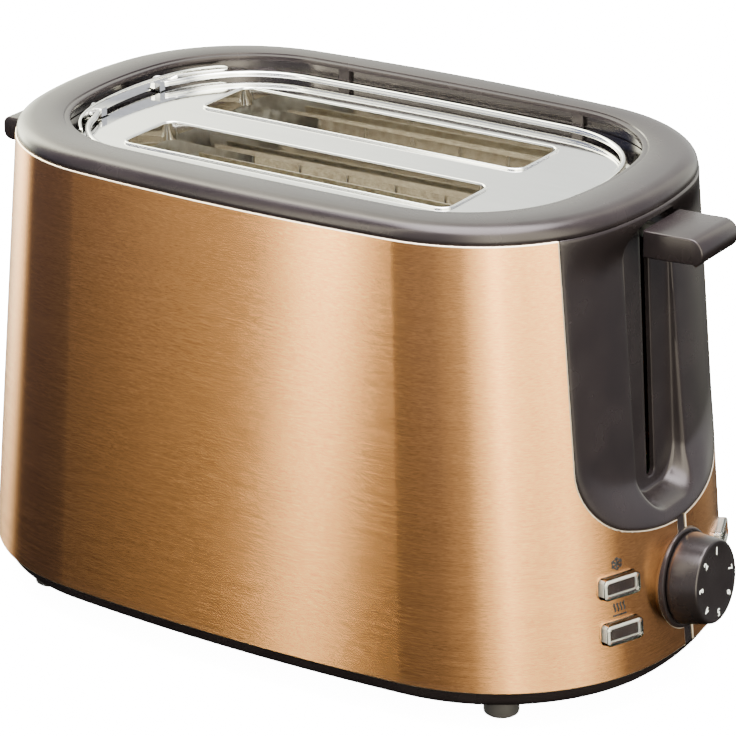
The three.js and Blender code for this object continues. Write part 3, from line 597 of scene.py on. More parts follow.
def lower_edge(grow, steps=12):
    """The panel's lower edge as (y, z): a wide bow between two round corners, from -Y to +Y."""
    turn = math.degrees(JOIN_ANGLE)
    corner = PANEL["corner"] + grow
    left = arc(-CORNER_Y, CORNER_Z, corner, 180, 270 - turn, steps)
    bow = arc(0.0, BOW_Z, PANEL["bow"] + grow, 270 - turn, 270 + turn, steps)
    right = arc(CORNER_Y, CORNER_Z, corner, 270 + turn, 360, steps)
    return left + bow[1:] + right[1:]


def u_outline(grow, top):
    """The panel's U outline as (y, z), from its top left down, round and up to its top right."""
    reach = PANEL["half_width"] + grow
    return [(-reach, top)] + lower_edge(grow) + [(reach, top)]


def prism_along_x(outline_yz, x0, x1):
    return lofted([[(x, y, z) for y, z in outline_yz] for x in (x0, x1)])


def body_shell(name, outer_inset, z_low, z_high, levels=14):
    heights = [lerp(z_low, z_high, i / (levels - 1)) for i in range(levels)]
    points, faces = lofted([level(body_section(z, outer_inset), z) for z in heights])
    return piece(name, points, faces, COPPER)


def set_body_normals(made):
    """Gives the faces that lie on the body surface its exact normals, so that cuts leave no shading marks."""
    mesh = made.data
    normals = []
    for polygon in mesh.polygons:
        for loop in polygon.loop_indices:
            at = mesh.vertices[mesh.loops[loop].vertex_index].co / MM
            exact = body_normal(at.x - SHIFT, at.y, at.z)
            side = polygon.normal.dot(exact)
            on_surface = abs(side) > ON_SURFACE
            normals.append(exact * math.copysign(1, side) if on_surface else polygon.normal.copy())
    mesh.normals_split_custom_set(normals)


def button_outline(less, corner):
    """A button's outline with its width and height made less."""
    return rounded_rectangle(BUTTON["width"] - less, BUTTON["height"] - less, corner)


def seat_room(radius):
    """A cutter round the knob's axis."""
    profile = [(0, -SEAT_REACH), (radius, -SEAT_REACH), (radius, SEAT_REACH), (0, SEAT_REACH)]
    return piece("seat_room", *turned(profile), BLACK, face_frame(0, KNOB_Z))


def steel_wrap():
    """The tapered sheet skin with the openings for the panel, strip, knob, buttons and rear lever."""
    wrap = body_shell("steel_wrap_skin", 0.0, BOTTOM["z"] + HEM_RADIUS, TOP["z"] - HEM_RADIUS)
    below, above = BOTTOM["z"] - CUT_PAST, TOP["z"] + CUT_PAST
    cutters = [body_shell("wrap_inside", SHEET, below, above)]
    cutters.append(piece("u_cut", *prism_along_x(u_outline(CUT_PLAY, above), *END_CUT), COPPER))
    strip = box_faces(*END_CUT, -STRIP_ROOM, STRIP_ROOM, below, PANEL["bottom"] + CUT_PAST)
    cutters.append(piece("strip_cut", *strip, COPPER))
    cutters.append(seat_room(KNOB_SEAT + GAP))
    half = BUN_SLOT["half_width"]
    rear = box_faces(-END_CUT[1], -END_CUT[0], -half, half, BUN_SLOT["bottom"], BUN_SLOT["top"])
    cutters.append(piece("bun_cut", *rear, COPPER))
    for name in BUTTON_PLACES:
        hole = prism_along_x(button_outline(-2 * GAP, BUTTON["corner"] + GAP), -BUTTON_REACH, BUTTON_REACH)
        cutters.append(piece("button_cut", *hole, COPPER, button_frame(name)))
    cut(wrap, cutters)
    set_body_normals(wrap)
    settle(wrap, "shell", "copper_wrap", "steel_wrap")


def on_wrap_middle(y, z):
    """The middle of the sheet's thickness at the control end."""
    return (end_x(y, z) - HEM_RADIUS, y, z)


def rim_path(z, gap_half):
    """Round the body at one height, from one side of the front opening to the other."""
    round_body = [p for p in level(body_section(z, HEM_RADIUS), z) if p[0] < 0 or abs(p[1]) > gap_half]
    return [on_wrap_middle(gap_half, z)] + round_body + [on_wrap_middle(-gap_half, z)]


def opening_path(side):
    """Down one side of the front opening: beside the panel and the strip, and half round the knob seat."""
    seat = KNOB_SEAT + GAP
    start = math.degrees(math.asin(STRIP_ROOM / seat))
    rise = math.sqrt(seat ** 2 - STRIP_ROOM ** 2) * math.cos(TILT)
    beside = [(y, z) for y, z in u_outline(CUT_PLAY, TOP["z"] - SHEET) if y * side > STRIP_ROOM]
    if side > 0:
        beside.reverse()
    beside += [(side * STRIP_ROOM, PANEL["bottom"] - CUT_PLAY), (side * STRIP_ROOM, KNOB_Z + rise)]
    ring = [(side * y, KNOB_Z + z * math.cos(TILT)) for y, z in arc(0, 0, seat, 90 - start, start - 90, 40)]
    below = [(side * STRIP_ROOM, KNOB_Z - rise), (side * STRIP_ROOM, BOTTOM["z"])]
    return [on_wrap_middle(y, z) for y, z in refined(beside, 3.0) + ring[1:] + refined(below, 3.0)[1:]]


def wrap_hems():
    """Rounded edges of the sheet in a paler metal that paints their bright highlight: the top and bottom
    rims, and each side of the front opening.
    """
    hems = [rim_path(BOTTOM["z"] + HEM_RADIUS, STRIP_ROOM)]
    hems.append(rim_path(TOP["z"] - HEM_RADIUS, PANEL["half_width"] + CUT_PLAY))
    hems += [opening_path(side) for side in (-1, 1)]
    parts = [piece("hem", *tube(path, HEM_RADIUS, sides=8), COPPER_EDGE_HIGHLIGHT) for path in hems]
    settle(joined("wrap_hem", parts), "shell", "copper_wrap")


def refined(points, step):
    """A polyline with extra points so that no stretch is longer than step."""
    fine = [points[0]]
    for a, b in zip(points, points[1:]):
        count = max(1, math.ceil(math.dist(a, b) / step))
        fine += [(lerp(a[0], b[0], i / count), lerp(a[1], b[1], i / count)) for i in range(1, count + 1)]
    return fine


# ---------------------------------------------------------------- top ring and plate

def clear_of_panel(x, y, z):
    """The ring's skirt stops at the seam where it passes behind the end panel."""
    behind = x > SKIRT_STOP_X and abs(y) < PANEL["half_width"] + 1
    return (x, y, max(z, RING_SEAM) if behind else z)


def top_ring():
    """The ring's closed profile, swept round: skirt, shoulder, top face, inner step, lip and recess wall."""
    outside = [(SKIRT_BOTTOM, 1.6), (RING_SEAM, 1.6), (RING_SEAM, 0.8), (RING_SEAM + 0.1, 0.55)]
    outside.append((RING_SEAM + 0.4, 0.45))
    outside += [(RING_SEAM + 0.9 + 5.0 * up, 0.45 + 6.55 * run) for run, up in bulge(12)[1:]]
    lip = [(0.0, 2.6), (0.1, 2.3), (0.45, 2.1), (0.5, 1.7), (0.5, 0.6), (0.65, 0.15), (1.0, 0.0), (2.1, 0.0)]
    inside = [(RING_TOP - drop, grow) for drop, grow in lip]
    inside += [(RING_TOP - 2.1, UNDERCUT), (SKIRT_BOTTOM, UNDERCUT), (SKIRT_BOTTOM, UNDERCUT + 2.4)]
    inside.append((RING_TOP - 3.2, UNDERCUT + 2.4))
    loops = [level(body_section(RING_SEAM, inset), z) for z, inset in outside]
    loops += [level(grown_opening(grow), z) for z, grow in inside]
    loops += [level(body_section(RING_SEAM, 4.0), z) for z in (RING_TOP - 3.2, SKIRT_BOTTOM)]
    loops = [[clear_of_panel(*point) for point in loop] for loop in loops]
    ring = piece("top_ring_cover", *lofted(loops, close=True), BLACK)
    settle(ring, "shell", "black_plastic", "top_ring")


def recess_shade_and_posts():
    """A glossy black band on the recess wall, darker than the ring as painted shade for the unlit hollow,
    with small grey posts standing on it.
    """
    low, high = RECESS_BAND
    loops = [level(grown_opening(UNDERCUT - inset), z) for inset, z in
             ((0.05, low), (0.05, high), (0.35, high), (0.35, low))]
    band = piece("recess_shade_band", *lofted(loops, close=True), RECESS_SHADE)
    settle(band, "shell", "black_plastic")
    posts = []
    for x, side in ((55, 1), (-45, 1), (55, -1), (-45, -1)):
        y = side * (OPENING["half_width"] + UNDERCUT - 1.7)
        post = box_faces(x - 2.4, x + 2.4, y - 1.1, y + 1.1, low, high - 0.1)
        posts.append(bevelled(piece("post", *post, BLACK), 0.3))
    settle(joined("recess_posts", posts), "shell", "black_plastic")


def slot_loop(grow, z, side):
    """A bread slot's outline, made larger all round, at one height and on one side."""
    points = rounded_rectangle(BREAD_SLOT["length"] + 2 * grow, BREAD_SLOT["width"] + 2 * grow,
                               BREAD_SLOT["corner"] + grow)
    return [(x + BREAD_SLOT["centre_x"], y + side * BREAD_SLOT["centre_y"], z) for x, y in points]


def top_plate():
    """Mirror plate with its outer edge turned down, and a rolled rim and flange round each slot."""
    low = PLATE_TOP - PLATE_SHEET
    edge = ((0.8, low), (0.4, low + 0.4), (0.4, PLATE_TOP - 0.4), (0.8, PLATE_TOP))
    loops = [level(grown_opening(UNDERCUT - inset), z) for inset, z in edge]
    plate = piece("top_plate_sheet", *lofted(loops), CHROME)
    through = (PLATE_TOP - PLATE_CUT, PLATE_TOP + PLATE_CUT)
    cutters = []
    for side in (-1, 1):
        cutters.append(piece("slot_cut", *lofted([slot_loop(0.4, z, side) for z in through]), CHROME))
        leg = box_faces(-99.5, -94.6, side * 18 - 2.4, side * 18 + 2.4, *through)
        cutters.append(piece("leg_cut", *leg, CHROME))
    cut(plate, cutters)
    smooth(plate)
    profile = [(0.8, low - 5.0), (0.8, low), (1.35, PLATE_TOP)]
    profile += arc(0.7, PLATE_TOP + 0.1, 0.7, 15, 165, 10)
    profile += [(0.0, PLATE_TOP), (0.0, low - 5.0)]
    parts = [plate]
    for side in (-1, 1):
        loops = [slot_loop(grow, z, side) for grow, z in profile]
        parts.append(piece("slot_rim", *lofted(loops, close=True), CHROME))
    settle(joined("top_plate_sheet", parts), "shell", "polished_steel", "top_plate")


# ---------------------------------------------------------------- end panel

def panel_lower(y):
    """The height of the panel's lower edge at a place across."""
    reach = abs(y)
    if reach < PANEL["bow"] * math.sin(JOIN_ANGLE):
        return BOW_Z - math.sqrt(PANEL["bow"] ** 2 - reach ** 2)
    return CORNER_Z - math.sqrt(max(0.0, PANEL["corner"] ** 2 - (reach - CORNER_Y) ** 2))


def panel_surface(y, z):
    """The panel is flatter than the body's end, and rolls out to meet it along its lower and upper edges."""
    across = min(1.0, abs(y) / PANEL["half_width"])
    lower = panel_lower(y)
    from_below = smoothstep(z, lower, lower + PANEL_DISH["low_blend"])
    from_above = smoothstep(PANEL_TOP - z, 0.0, PANEL_DISH["top_blend"])
    return end_x(y, z) - PANEL_DISH["depth"] * (1 - across ** 2) * from_below * from_above


def channel_floor(z):
    """How far out the floor of the lever's channel lies at a height."""
    return lerp(FLOOR_BOTTOM[1], FLOOR_TOP[1], (z - FLOOR_BOTTOM[0]) / (FLOOR_TOP[0] - FLOOR_BOTTOM[0]))


def tall_outline(half_width, low, high, corner):
    """A tall rounded outline as (y, z), from its bottom centre up the +Y side and down the other."""
    flat = half_width - corner
    half = [(flat * i / 6, low) for i in range(6)]
    half += arc(flat, low + corner, corner, -90, 0, 15)
    half += [(half_width, lerp(low + corner, high - corner, i / 24)) for i in range(1, 24)]
    half += arc(flat, high - corner, corner, 0, 90, 11)
    half += [(flat * (1 - i / 6), high) for i in range(1, 6)]
    return half + [(0.0, high)] + mirrored(half)


def channel_outline(grow):
    """The channel's outline, made larger all round; its top grows only a little."""
    top = CHANNEL["top"] + min(grow, 0.6)
    corner = CHANNEL["corner"] + 0.4 * grow
    return tall_outline(CHANNEL["half_width"] + grow, CHANNEL["bottom"] - grow, top, corner)


def on_panel(points, sunk):
    return [(panel_surface(y, z) - sunk, y, z) for y, z in points]


def on_floor(points, sunk):
    return [(channel_floor(z) - sunk, y, z) for y, z in points]


def mouth_depths():
    """How far the channel's mouth stands in front of its floor at each point of its outline."""
    first_guess, rounds, least = 8.0, 6, 0.6
    depths = []
    for i in range(len(channel_outline(0))):
        depth = first_guess
        for _ in range(rounds):
            y, z = channel_outline(CHANNEL["draft"] * depth)[i]
            depth = panel_surface(y, z) - channel_floor(z)
        depths.append(max(depth, least))
    return depths


def drafted(depths, share, extra=0.0):
    """The channel wall's outline at a share of the way from floor to mouth, as (y, z) with its depth."""
    made = []
    for i, depth in enumerate(depths):
        y, z = channel_outline(CHANNEL["draft"] * depth * share + extra)[i]
        made.append((y, z, depth * share))
    return made


def panel_outer(inset):
    """The panel's outline with as many points, in the same order, as the channel's outline."""
    right = [p for p in lower_edge(-inset, steps=14) if p[0] > ANGLE_PLAY]
    reach, top, corner = PANEL["half_width"] - inset, PANEL_TOP - inset, 0.8
    half = [(0.0, PANEL["bottom"] + inset)] + right[:-1]
    half += [(reach, lerp(CORNER_Z, top - corner, i / 24)) for i in range(24)]
    half += arc(reach - corner, top - corner, corner, 0, 90, 4)
    half += [((reach - corner) * (1 - i / 13), top) for i in range(1, 13)]
    return half + [(0.0, top)] + mirrored(half)


def face_loops(depths):
    """From the panel's back edge round its outer edge and over its face to the channel's mouth."""
    back = PANEL["thickness"]
    edge = ((0.0, back), (0.0, 0.9), (0.12, 0.4), (0.4, 0.12), (0.9, 0.0))
    loops = [on_panel(panel_outer(inset), sunk) for inset, sunk in edge]
    rim = [(y, z) for y, z, _ in drafted(depths, 1.0, 1.0)]
    return loops + [on_panel(between(panel_outer(0.9), rim, i / 16), 0.0) for i in range(1, 17)]


def channel_loops(depths):
    """Over the mouth's rounded edge, down the channel's walls and round into its floor."""
    loops = []
    for extra, sunk in ((0.45, 0.1), (0.12, 0.4)):
        mouth = drafted(depths, 1.0, extra)
        loops.append([(panel_surface(y, z) - min(sunk, depth / 3), y, z) for y, z, depth in mouth])
    for share in (0.8, 0.6, 0.4, FILLET_SHARE):
        loops.append([(channel_floor(z) + depth, y, z) for y, z, depth in drafted(depths, share)])
    for extra, lift in ((-0.25, 0.41), (-0.8, 0.09), (-1.5, 0.0)):
        foot = drafted(depths, FILLET_SHARE, extra)
        loops.append([(channel_floor(z) + depth * lift, y, z) for y, z, depth in foot])
    return loops


def panel_loops():
    """Loops from the panel's back over its face and the channel's walls and floor to the slot, and back."""
    depths = mouth_depths()
    loops = face_loops(depths) + channel_loops(depths)
    floor_edge = [(y, z) for _, y, z in loops[-1]]
    half_width, low, high, corner = (SLOT[key] for key in ("half_width", "bottom", "top", "corner"))
    slot = tall_outline(half_width, low, high, corner)
    wide_slot = tall_outline(half_width + 0.4, low - 0.4, high + 0.4, corner + 0.3)
    loops += [on_floor(between(floor_edge, wide_slot, i / 8), 0.0) for i in range(1, 9)]
    loops += [on_floor(slot, 0.3), on_floor(slot, CHANNEL["wall"])]
    loops.append(on_floor(channel_outline(CHANNEL["wall"]), CHANNEL["wall"]))
    behind = [(y, z) for y, z, _ in drafted(depths, 1.0, CHANNEL["wall"] + 0.4)]
    return loops + [on_panel(behind, PANEL["thickness"])]


def end_panel():
    panel = piece("end_panel_face", *lofted(panel_loops(), close=True), BLACK, crease=50)
    settle(panel, "shell", "black_plastic", "end_panel")


def panel_strip():
    """The narrow strip under the panel, falling away at its edges, with room for the knob seat."""
    rows, columns = 40, 9
    across = [lerp(-1, 1, column / (columns - 1)) for column in range(columns)]
    loops = []
    for row in range(rows):
        z = lerp(BOTTOM["z"] + GAP, PANEL["bottom"] + 0.6, row / (rows - 1))
        front = [on_end_face(t * STRIP_HALF, z, 0.1 - GAP - 0.35 * t ** 6) for t in across]
        back = [on_end_face(t * STRIP_HALF, z, -1.7) for t in reversed(across)]
        loops.append(front + back)
    strip = piece("panel_strip", *lofted(loops), BLACK)
    cut(strip, [seat_room(KNOB_SEAT - 0.2)])
    smooth(strip)
    settle(strip, "shell", "black_plastic")


def knob_seat():
    """The round plate behind the knob, with its edge rounded over."""
    back, front, hole = -3.4, 0.3, 3.6
    profile = [(hole, back), (KNOB_SEAT, back), (KNOB_SEAT, 0.1), (KNOB_SEAT - 0.15, 0.45)]
    profile += [(KNOB_SEAT - 0.5, 0.6), (KNOB_SEAT - 1.0, 0.62), (KNOB_SEAT - 1.2, front), (hole, front)]
    seat = piece("knob_seat", *turned(profile, hollow=True), BLACK, face_frame(0, KNOB_Z))
    settle(seat, "shell", "black_plastic")


# ---------------------------------------------------------------- controls

def browning_knob():
    """Tapered dial with a slightly hollow face."""
    profile = [(0, 7.3), (3.3, 7.3), (3.3, 1.0), (15.6, 1.0), (16.0, 1.1), (16.2, 1.5)]
    profile += [(16.15, 2.6), (14.95, 10.9)]
    profile += [(14.85 - 0.8 * run, 11.3 + 0.75 * up) for run, up in bulge(6)[1:]]
    profile += [(13.2, 12.02), (12.4, 11.96), (6.0, 11.9), (0, 11.9)]
    dial = piece("browning_dial", *turned(profile), KNOB_BLACK, face_frame(0, KNOB_Z))
    settle(dial, "knob", "knob_plastic", "browning_knob")


def flat_text(name, words, size):
    """Raised lettering lying in local XY with its middle at the origin, in millimetres."""
    curve = bpy.data.curves.new(name, "FONT")
    curve.body = words
    curve.size = size
    curve.align_x = "CENTER"
    curve.align_y = "CENTER"
    curve.extrude = 0.05
    curve.offset = 0.022 * size
    lettering = linked(name, curve)
    bpy.context.view_layer.update()
    mesh = bpy.data.meshes.new_from_object(lettering.evaluated_get(bpy.context.evaluated_depsgraph_get()))
    bpy.data.objects.remove(lettering)
    points = [v.co.copy() for v in mesh.vertices]
    faces = [tuple(p.vertices) for p in mesh.polygons]
    bpy.data.meshes.remove(mesh)
    return points, faces


def dial_numerals():
    """The figures 1 to 7 round the knob's face, each upright when its mark is at the top."""
    first, step = math.radians(8.9), math.radians(47.7)
    to_face = Matrix(((0, 0, 1, 11.98), (1, 0, 0, 0), (0, 1, 0, 11.0), (0, 0, 0, 1)))
    parts = []
    for i in range(7):
        points, faces = flat_text("numeral", str(i + 1), 3.7)
        middle = sum(points, Vector()) / len(points)
        centred = [p - Vector((middle.x, middle.y, 0)) for p in points]
        spin = Matrix.Rotation(i * step - first, 4, "X")
        parts.append(piece("numeral", centred, faces, INK_WHITE, face_frame(0, KNOB_Z) @ spin @ to_face))
    settle(joined("dial_numerals", parts), "knob", "knob_plastic")


def drawn_in(points, inset):
    """An outline scaled about the middle of its box, so that the box loses the inset on each side."""
    lows, highs = [min(axis) for axis in zip(*points)], [max(axis) for axis in zip(*points)]
    made = []
    for point in points:
        middles = [(low + high) / 2 for low, high in zip(lows, highs)]
        shares = [1 - 2 * inset / (high - low) for low, high in zip(lows, highs)]
        made.append(tuple(m + (value - m) * share for value, m, share in zip(point, middles, shares)))
    return made


def soft_block(outline_yz, levels):
    """Loops of one outline drawn in by each level's inset, as (x, inset) pairs."""
    return [[(x, y, z) for y, z in drawn_in(outline_yz, inset)] for x, inset in levels]


def push_button(name):
    """A clear cap with a hollow back, a pale rim behind its wall that paints the wall's white highlight, and
    a dark window.
    """
    body, depth, at = f"{name}_button", BUTTON["depth"], button_frame(name)
    front = [(-2.5, 0.0), (depth - 0.7, 0.0), (depth - 0.25, 0.15)]
    front += [(depth, 0.5), (depth, 0.9), (depth - 0.5, 1.5)]
    outer = button_outline(0.0, BUTTON["corner"])
    cap = piece(f"{name}_cap_clear", *lofted(soft_block(outer, front)), CLEAR, at)
    pocket = soft_block(button_outline(1.2, 1.0), [(depth - 1.0, 0.0), (-4.5, 0.0)])
    cut(cap, [piece("pocket", *lofted(pocket), CLEAR, at)])
    smooth(cap)
    settle(cap, body, "clear_plastic", f"{name}_button_cap")
    rim = soft_block(button_outline(1.4, 0.9), [(-2.4, 0.0), (depth - 1.6, 0.0), (depth - 1.1, 0.5)])
    rim += soft_block(button_outline(3.3, 0.5), [(depth - 1.1, 0.0), (-2.4, 0.0)])
    settle(piece(f"{name}_rim", *lofted(rim, close=True), RIM_HIGHLIGHT, at), body, "clear_plastic")
    window = soft_block(button_outline(3.5, 0.5), [(-2.3, 0.0), (depth - 1.5, 0.0), (depth - 1.3, 0.2)])
    core = piece(f"{name}_window", *lofted(window), CORE, at)
    settle(core, body, "button_core", f"{name}_button_core")


def on_end_face(y, z, lift):
    return Vector((end_x(y, z) + lift, y, z))


def stroke(points, width):
    """A flat inked line on the control end through (y, z) points."""
    low, high = 0.02, 0.07
    loops = []
    for i, here in enumerate(points):
        across = crosswise(points, i) * width / 2
        left, right = Vector(here) + across, Vector(here) - across
        corners = ((left, low), (left, high), (right, high), (right, low))
        loops.append([on_end_face(*at, lift) for at, lift in corners])
    return lofted(loops)


def snowflake(y, z, radius):
    strokes = []
    for arm in range(6):
        angle = math.radians(60 * arm + 30)
        out = Vector((math.cos(angle), math.sin(angle)))
        strokes.append([(y, z), (y + out.x * radius, z + out.y * radius)])
        fork = Vector((y, z)) + out * radius * 0.55
        for side in (-1, 1):
            tip_angle = angle + side * math.radians(50)
            tip = fork + Vector((math.cos(tip_angle), math.sin(tip_angle))) * radius * 0.42
            strokes.append([tuple(fork), tuple(tip)])
    return strokes


def heat_waves(y, z, height):
    wave = [(0.22 * math.sin(2 * math.pi * k / 12), z + height * k / 12) for k in range(13)]
    strokes = [[(y + (i - 1.5) * 1.25 + sway, rise) for sway, rise in wave] for i in range(4)]
    strokes.append([(y - 2.7, z - 1.3), (y + 2.7, z - 1.3)])
    return strokes


def printed_signs():
    """Defrost and reheat signs above their buttons, and a ring with a bar above the stop button."""
    rise, ring_rise = 7.1, 7.7
    defrost, reheat, stop = (BUTTON_PLACES[name] for name in ("defrost", "reheat", "stop"))
    ring = arc(stop[0], stop[1] + ring_rise, 1.8, 0, 360, 24)
    bar = [(stop[0], stop[1] + rise + 1.2), (stop[0], stop[1] + rise + 3.1)]
    groups = (
        (snowflake(defrost[0], defrost[1] + ring_rise, 2.3), 0.68),
        (heat_waves(reheat[0], reheat[1] + rise, 3.2), 0.66),
        ([ring, bar], 0.4),
    )
    parts = [piece("sign", *stroke(points, width), INK_DARK) for group, width in groups for points in group]
    settle(joined("printed_signs", parts), "shell", "copper_wrap")


# ---------------------------------------------------------------- levers

def prism_along_y(outline_xz, levels):
    """Loops of one outline drawn in by each level's inset, as (y, inset) pairs."""
    return [[(x, y, z) for x, z in drawn_in(outline_xz, inset)] for y, inset in levels]


def rounded_levels(half_width, radius):
    """The levels of a slab whose two edges are rounded over."""
    near = [(-half_width + radius * (1 - up), radius * run) for run, up in reversed(bulge(4))]
    return near + [(-y, inset) for y, inset in reversed(near)]


def lever_handle():
    """Flat slab with a round nose, on the carriage arm."""
    inner, outer, bottom, top, nose = 123.5, 146.0, 158.5, 168.0, 5.2
    points = [(inner, bottom), (inner + 9, bottom + 0.3), (outer - 3.4, bottom + 0.9)]
    points += arc(outer - nose, top + 0.4 - nose, nose, NOSE_START, 90, 14)[1:]
    points += [(inner + 12, top + 0.2), (inner, top)]
    slab = lofted(prism_along_y(points, rounded_levels(13.3, 0.7)))
    handle = piece("carriage_lever", *slab, BLACK, crease=40)
    socket = box_faces(inner - 1, inner + 8.3, -1.8, 1.8, 160.7, 166.3)
    cut(handle, [piece("socket", *socket, BLACK)])
    smooth(handle, 40)
    settle(handle, "carriage", "black_plastic", "lever_handle")


def bun_lever_handle():
    """The rear lever: its finger slab, the neck through the slot and the toothed bar."""
    side_view = [(x - 139.65, z + 156.5) for x, z in rounded_rectangle(15.3, 9.0, 3.2)]
    slab = lofted(prism_along_y(side_view, rounded_levels(12.0, 0.9)))
    parts = [piece("bun_lever_grip", *slab, BLACK, crease=40)]
    parts.append(piece("neck", *box_faces(-133.2, -117.1, -2.4, 2.4, 153.5, 158.5), BLACK))
    parts.append(piece("rack_bar", *toothed_bar(), BLACK))
    settle(joined("bun_lever_grip", parts), "bun_lever", "black_plastic", "bun_lever")


def toothed_bar():
    """The bar's teeth have the pinion's pitch, and stand half a pitch off its axis."""
    back, root, tip, low, high = -118.5, -116.1, -114.2, 113.5, 161.0
    points = [(back, low), (root, low)]
    for tooth in range(-2, 13):
        z = PINION_Z + (tooth + 0.5) * math.pi
        points += [(root, z - 0.95), (tip, z - 0.35), (tip, z + 0.35), (root, z + 0.95)]
    points += [(root, high), (back, high)]
    return lofted([[(x, y, z) for x, z in points] for y in (-2.0, 2.0)])


def rear_bezel():
    """A raised rounded frame round the rear lever's slot, lying on the body."""
    width = BEZEL["half_width"] - BUN_SLOT["half_width"]
    loops = []
    for shrink, lift in ((0.0, GAP), (0.0, 1.0), (0.25, 1.3), (0.7, 1.4), (3.2, 1.4), (3.45, 1.2),
                         (width, 0.9), (width, GAP)):
        t = shrink / width
        low = BUN_SLOT["bottom"] - lerp(BEZEL["margin"], 0, t)
        high = BUN_SLOT["top"] + lerp(BEZEL["margin"], 0, t)
        edge = tall_outline(BEZEL["half_width"] - shrink, low, high, lerp(BEZEL["corner"], 1.0, t))
        loops.append([(-end_x(y, z) - lift, y, z) for y, z in edge])
    bezel = piece("rear_bezel", *lofted(loops, close=True), BLACK, crease=50)
    settle(bezel, "shell", "black_plastic", "bun_lever_bezel")


# ---------------------------------------------------------------- bun rack and slot insides

def wire_rack():
    """The lifting wire: round the recess, with its ends hooked through the rear bracket."""
    hook_x, hook_y = -96.4, 20.2
    loop = outline(grown_opening(-6.2), steps=(4, 10, 6))
    half = len(loop) // 2
    ordered = [p for p in loop[half:] + loop[:half] if p[0] > 0 or abs(p[1]) > 24]
    path = [(hook_x, -hook_y)] + ordered + [(hook_x, hook_y)]
    wire = tube(curve_through([(x, y, WIRE_Z) for x, y in path], 4), WIRE_RADIUS, sides=14)
    settle(piece("bun_wire", *wire, CHROME, crease=60), "bun_rack", "polished_steel", "wire_rack")


def rack_cross_bar():
    """A flat polished bar bowed along the recess's rear end, with rounded tips that hold the wire."""
    half_thick, tip, low, high, reach = 0.5, 3.0, 172.2, 176.2, 46.0
    middle = (low + high) / 2
    oval = outline(grown_opening(-3.4), steps=(16, 40, 4))
    rear = sorted(((-x, y) for x, y in oval if x > 0 and abs(y) <= reach), key=lambda p: p[1])
    loops = []
    for i, (x, y) in enumerate(rear):
        out = crosswise(rear, i) * half_thick
        to_tip = max(0.0, 1 - (reach - abs(y)) / tip)
        rise = math.sqrt(max(0.02, 1 - to_tip ** 2)) * (high - low) / 2
        corners = ((1, -rise), (1, rise), (-1, rise), (-1, -rise))
        loops.append([(x + side * out.x, y + side * out.y, middle + up) for side, up in corners])
    bar = bevelled(piece("rack_cross_bar", *lofted(loops), CHROME), 0.18, 2)
    smooth(bar, 40)
    parts = [bar]
    for side in (-1, 1):
        hook = [(-99.0, side * 17.0, 174.6), (-100.0, side * 19.0, 175.2), (-98.0, side * 22.5, 175.0),
                (-96.4, side * 24.5, 173.9), (-95.0, side * 26.5, WIRE_Z + 1.4)]
        parts.append(piece("hook", *tube(curve_through(hook, 6), 0.7, sides=10), CHROME))
    settle(joined("rack_cross_bar", parts), "bun_rack", "polished_steel")


def bread_guard(index, side, facing):
    """Round wires: upright ones along the slot, welded to three level ones."""
    centre_x, y, hinge = BREAD_SLOT["centre_x"], side * BREAD_SLOT["centre_y"] + facing * 13.0, 44.0
    height, pitch, count, radius = 108.0, 21.0, 7, 0.7
    reach = (count - 1) * pitch / 2
    levels = (hinge, hinge + height / 2, hinge + height)
    places = [centre_x - reach + i * pitch for i in range(count)]
    wires = [[(x, y, z) for x in (places[0], centre_x, places[-1])] for z in levels]
    wires += [[(x, y, z) for z in levels] for x in places]
    parts = [piece("guard_wire", *tube(path, radius, sides=10), CHROME) for path in wires]
    made = joined(f"bread_guard_wires_{index}", parts)
    settle(made, f"guard_{index}", "polished_steel", f"bread_guard_{index}")


def bread_guards():
    places = [(side, facing) for side in (-1, 1) for facing in (-1, 1)]
    for index, (side, facing) in enumerate(places, 1):
        bread_guard(index, side, facing)


# ---------------------------------------------------------------- base

def upright_hole(points):
    """A cutter through the base's floor."""
    return piece("hole", *lofted([[(x, y, z) for x, y in points] for z in BASE_CUT]), BLACK)


def base_openings():
    """Cutters for the feet's stems, the floor's holes and vents, and the crumb tray's way in."""
    holes = [(x, y, 2.7) for x, y in FOOT_PLACES]
    holes += [(x, y, 2.2) for x in (-83.0, 73.0) for y in (-62.0, 62.0)] + [(-60.0, 62.0, 6.3)]
    cutters = []
    for x, y, radius in holes:
        cutters.append(upright_hole([(x + a, y + b) for a, b in circle(radius, 32)]))
    vent = rounded_rectangle(6.0, 52.0, 2.4)
    for i in range(6):
        cutters.append(upright_hole([(x + 20 * i - 52.0, y) for x, y in vent]))
    return cutters + [piece("tray_room", *box_faces(-160, -115, -43.6, 43.6, 9.0, 14.3), BLACK)]


def base_pan():
    """The base's outer skirt as one smooth turned-in profile, with the floor's openings cut through."""
    profile = [(6.5, 13.6), (6.6, 12.4), (6.9, 10.0), (7.4, 7.8), (8.3, 5.6), (9.6, 4.0), (11.4, 3.0)]
    profile += [(14.6, 2.6), (20.6, 2.6), (21.0, 3.0), (21.0, 5.2), (14.6, 5.2), (9.0, 9.4), (9.0, 9.6)]
    loops = [level(body_section(BOTTOM["z"], inset), z) for z, inset in profile]
    pan = piece("base_skirt", *lofted(loops), BLACK)
    cut(pan, base_openings())
    smooth(pan)
    settle(pan, "shell", "black_plastic", "base_pan")


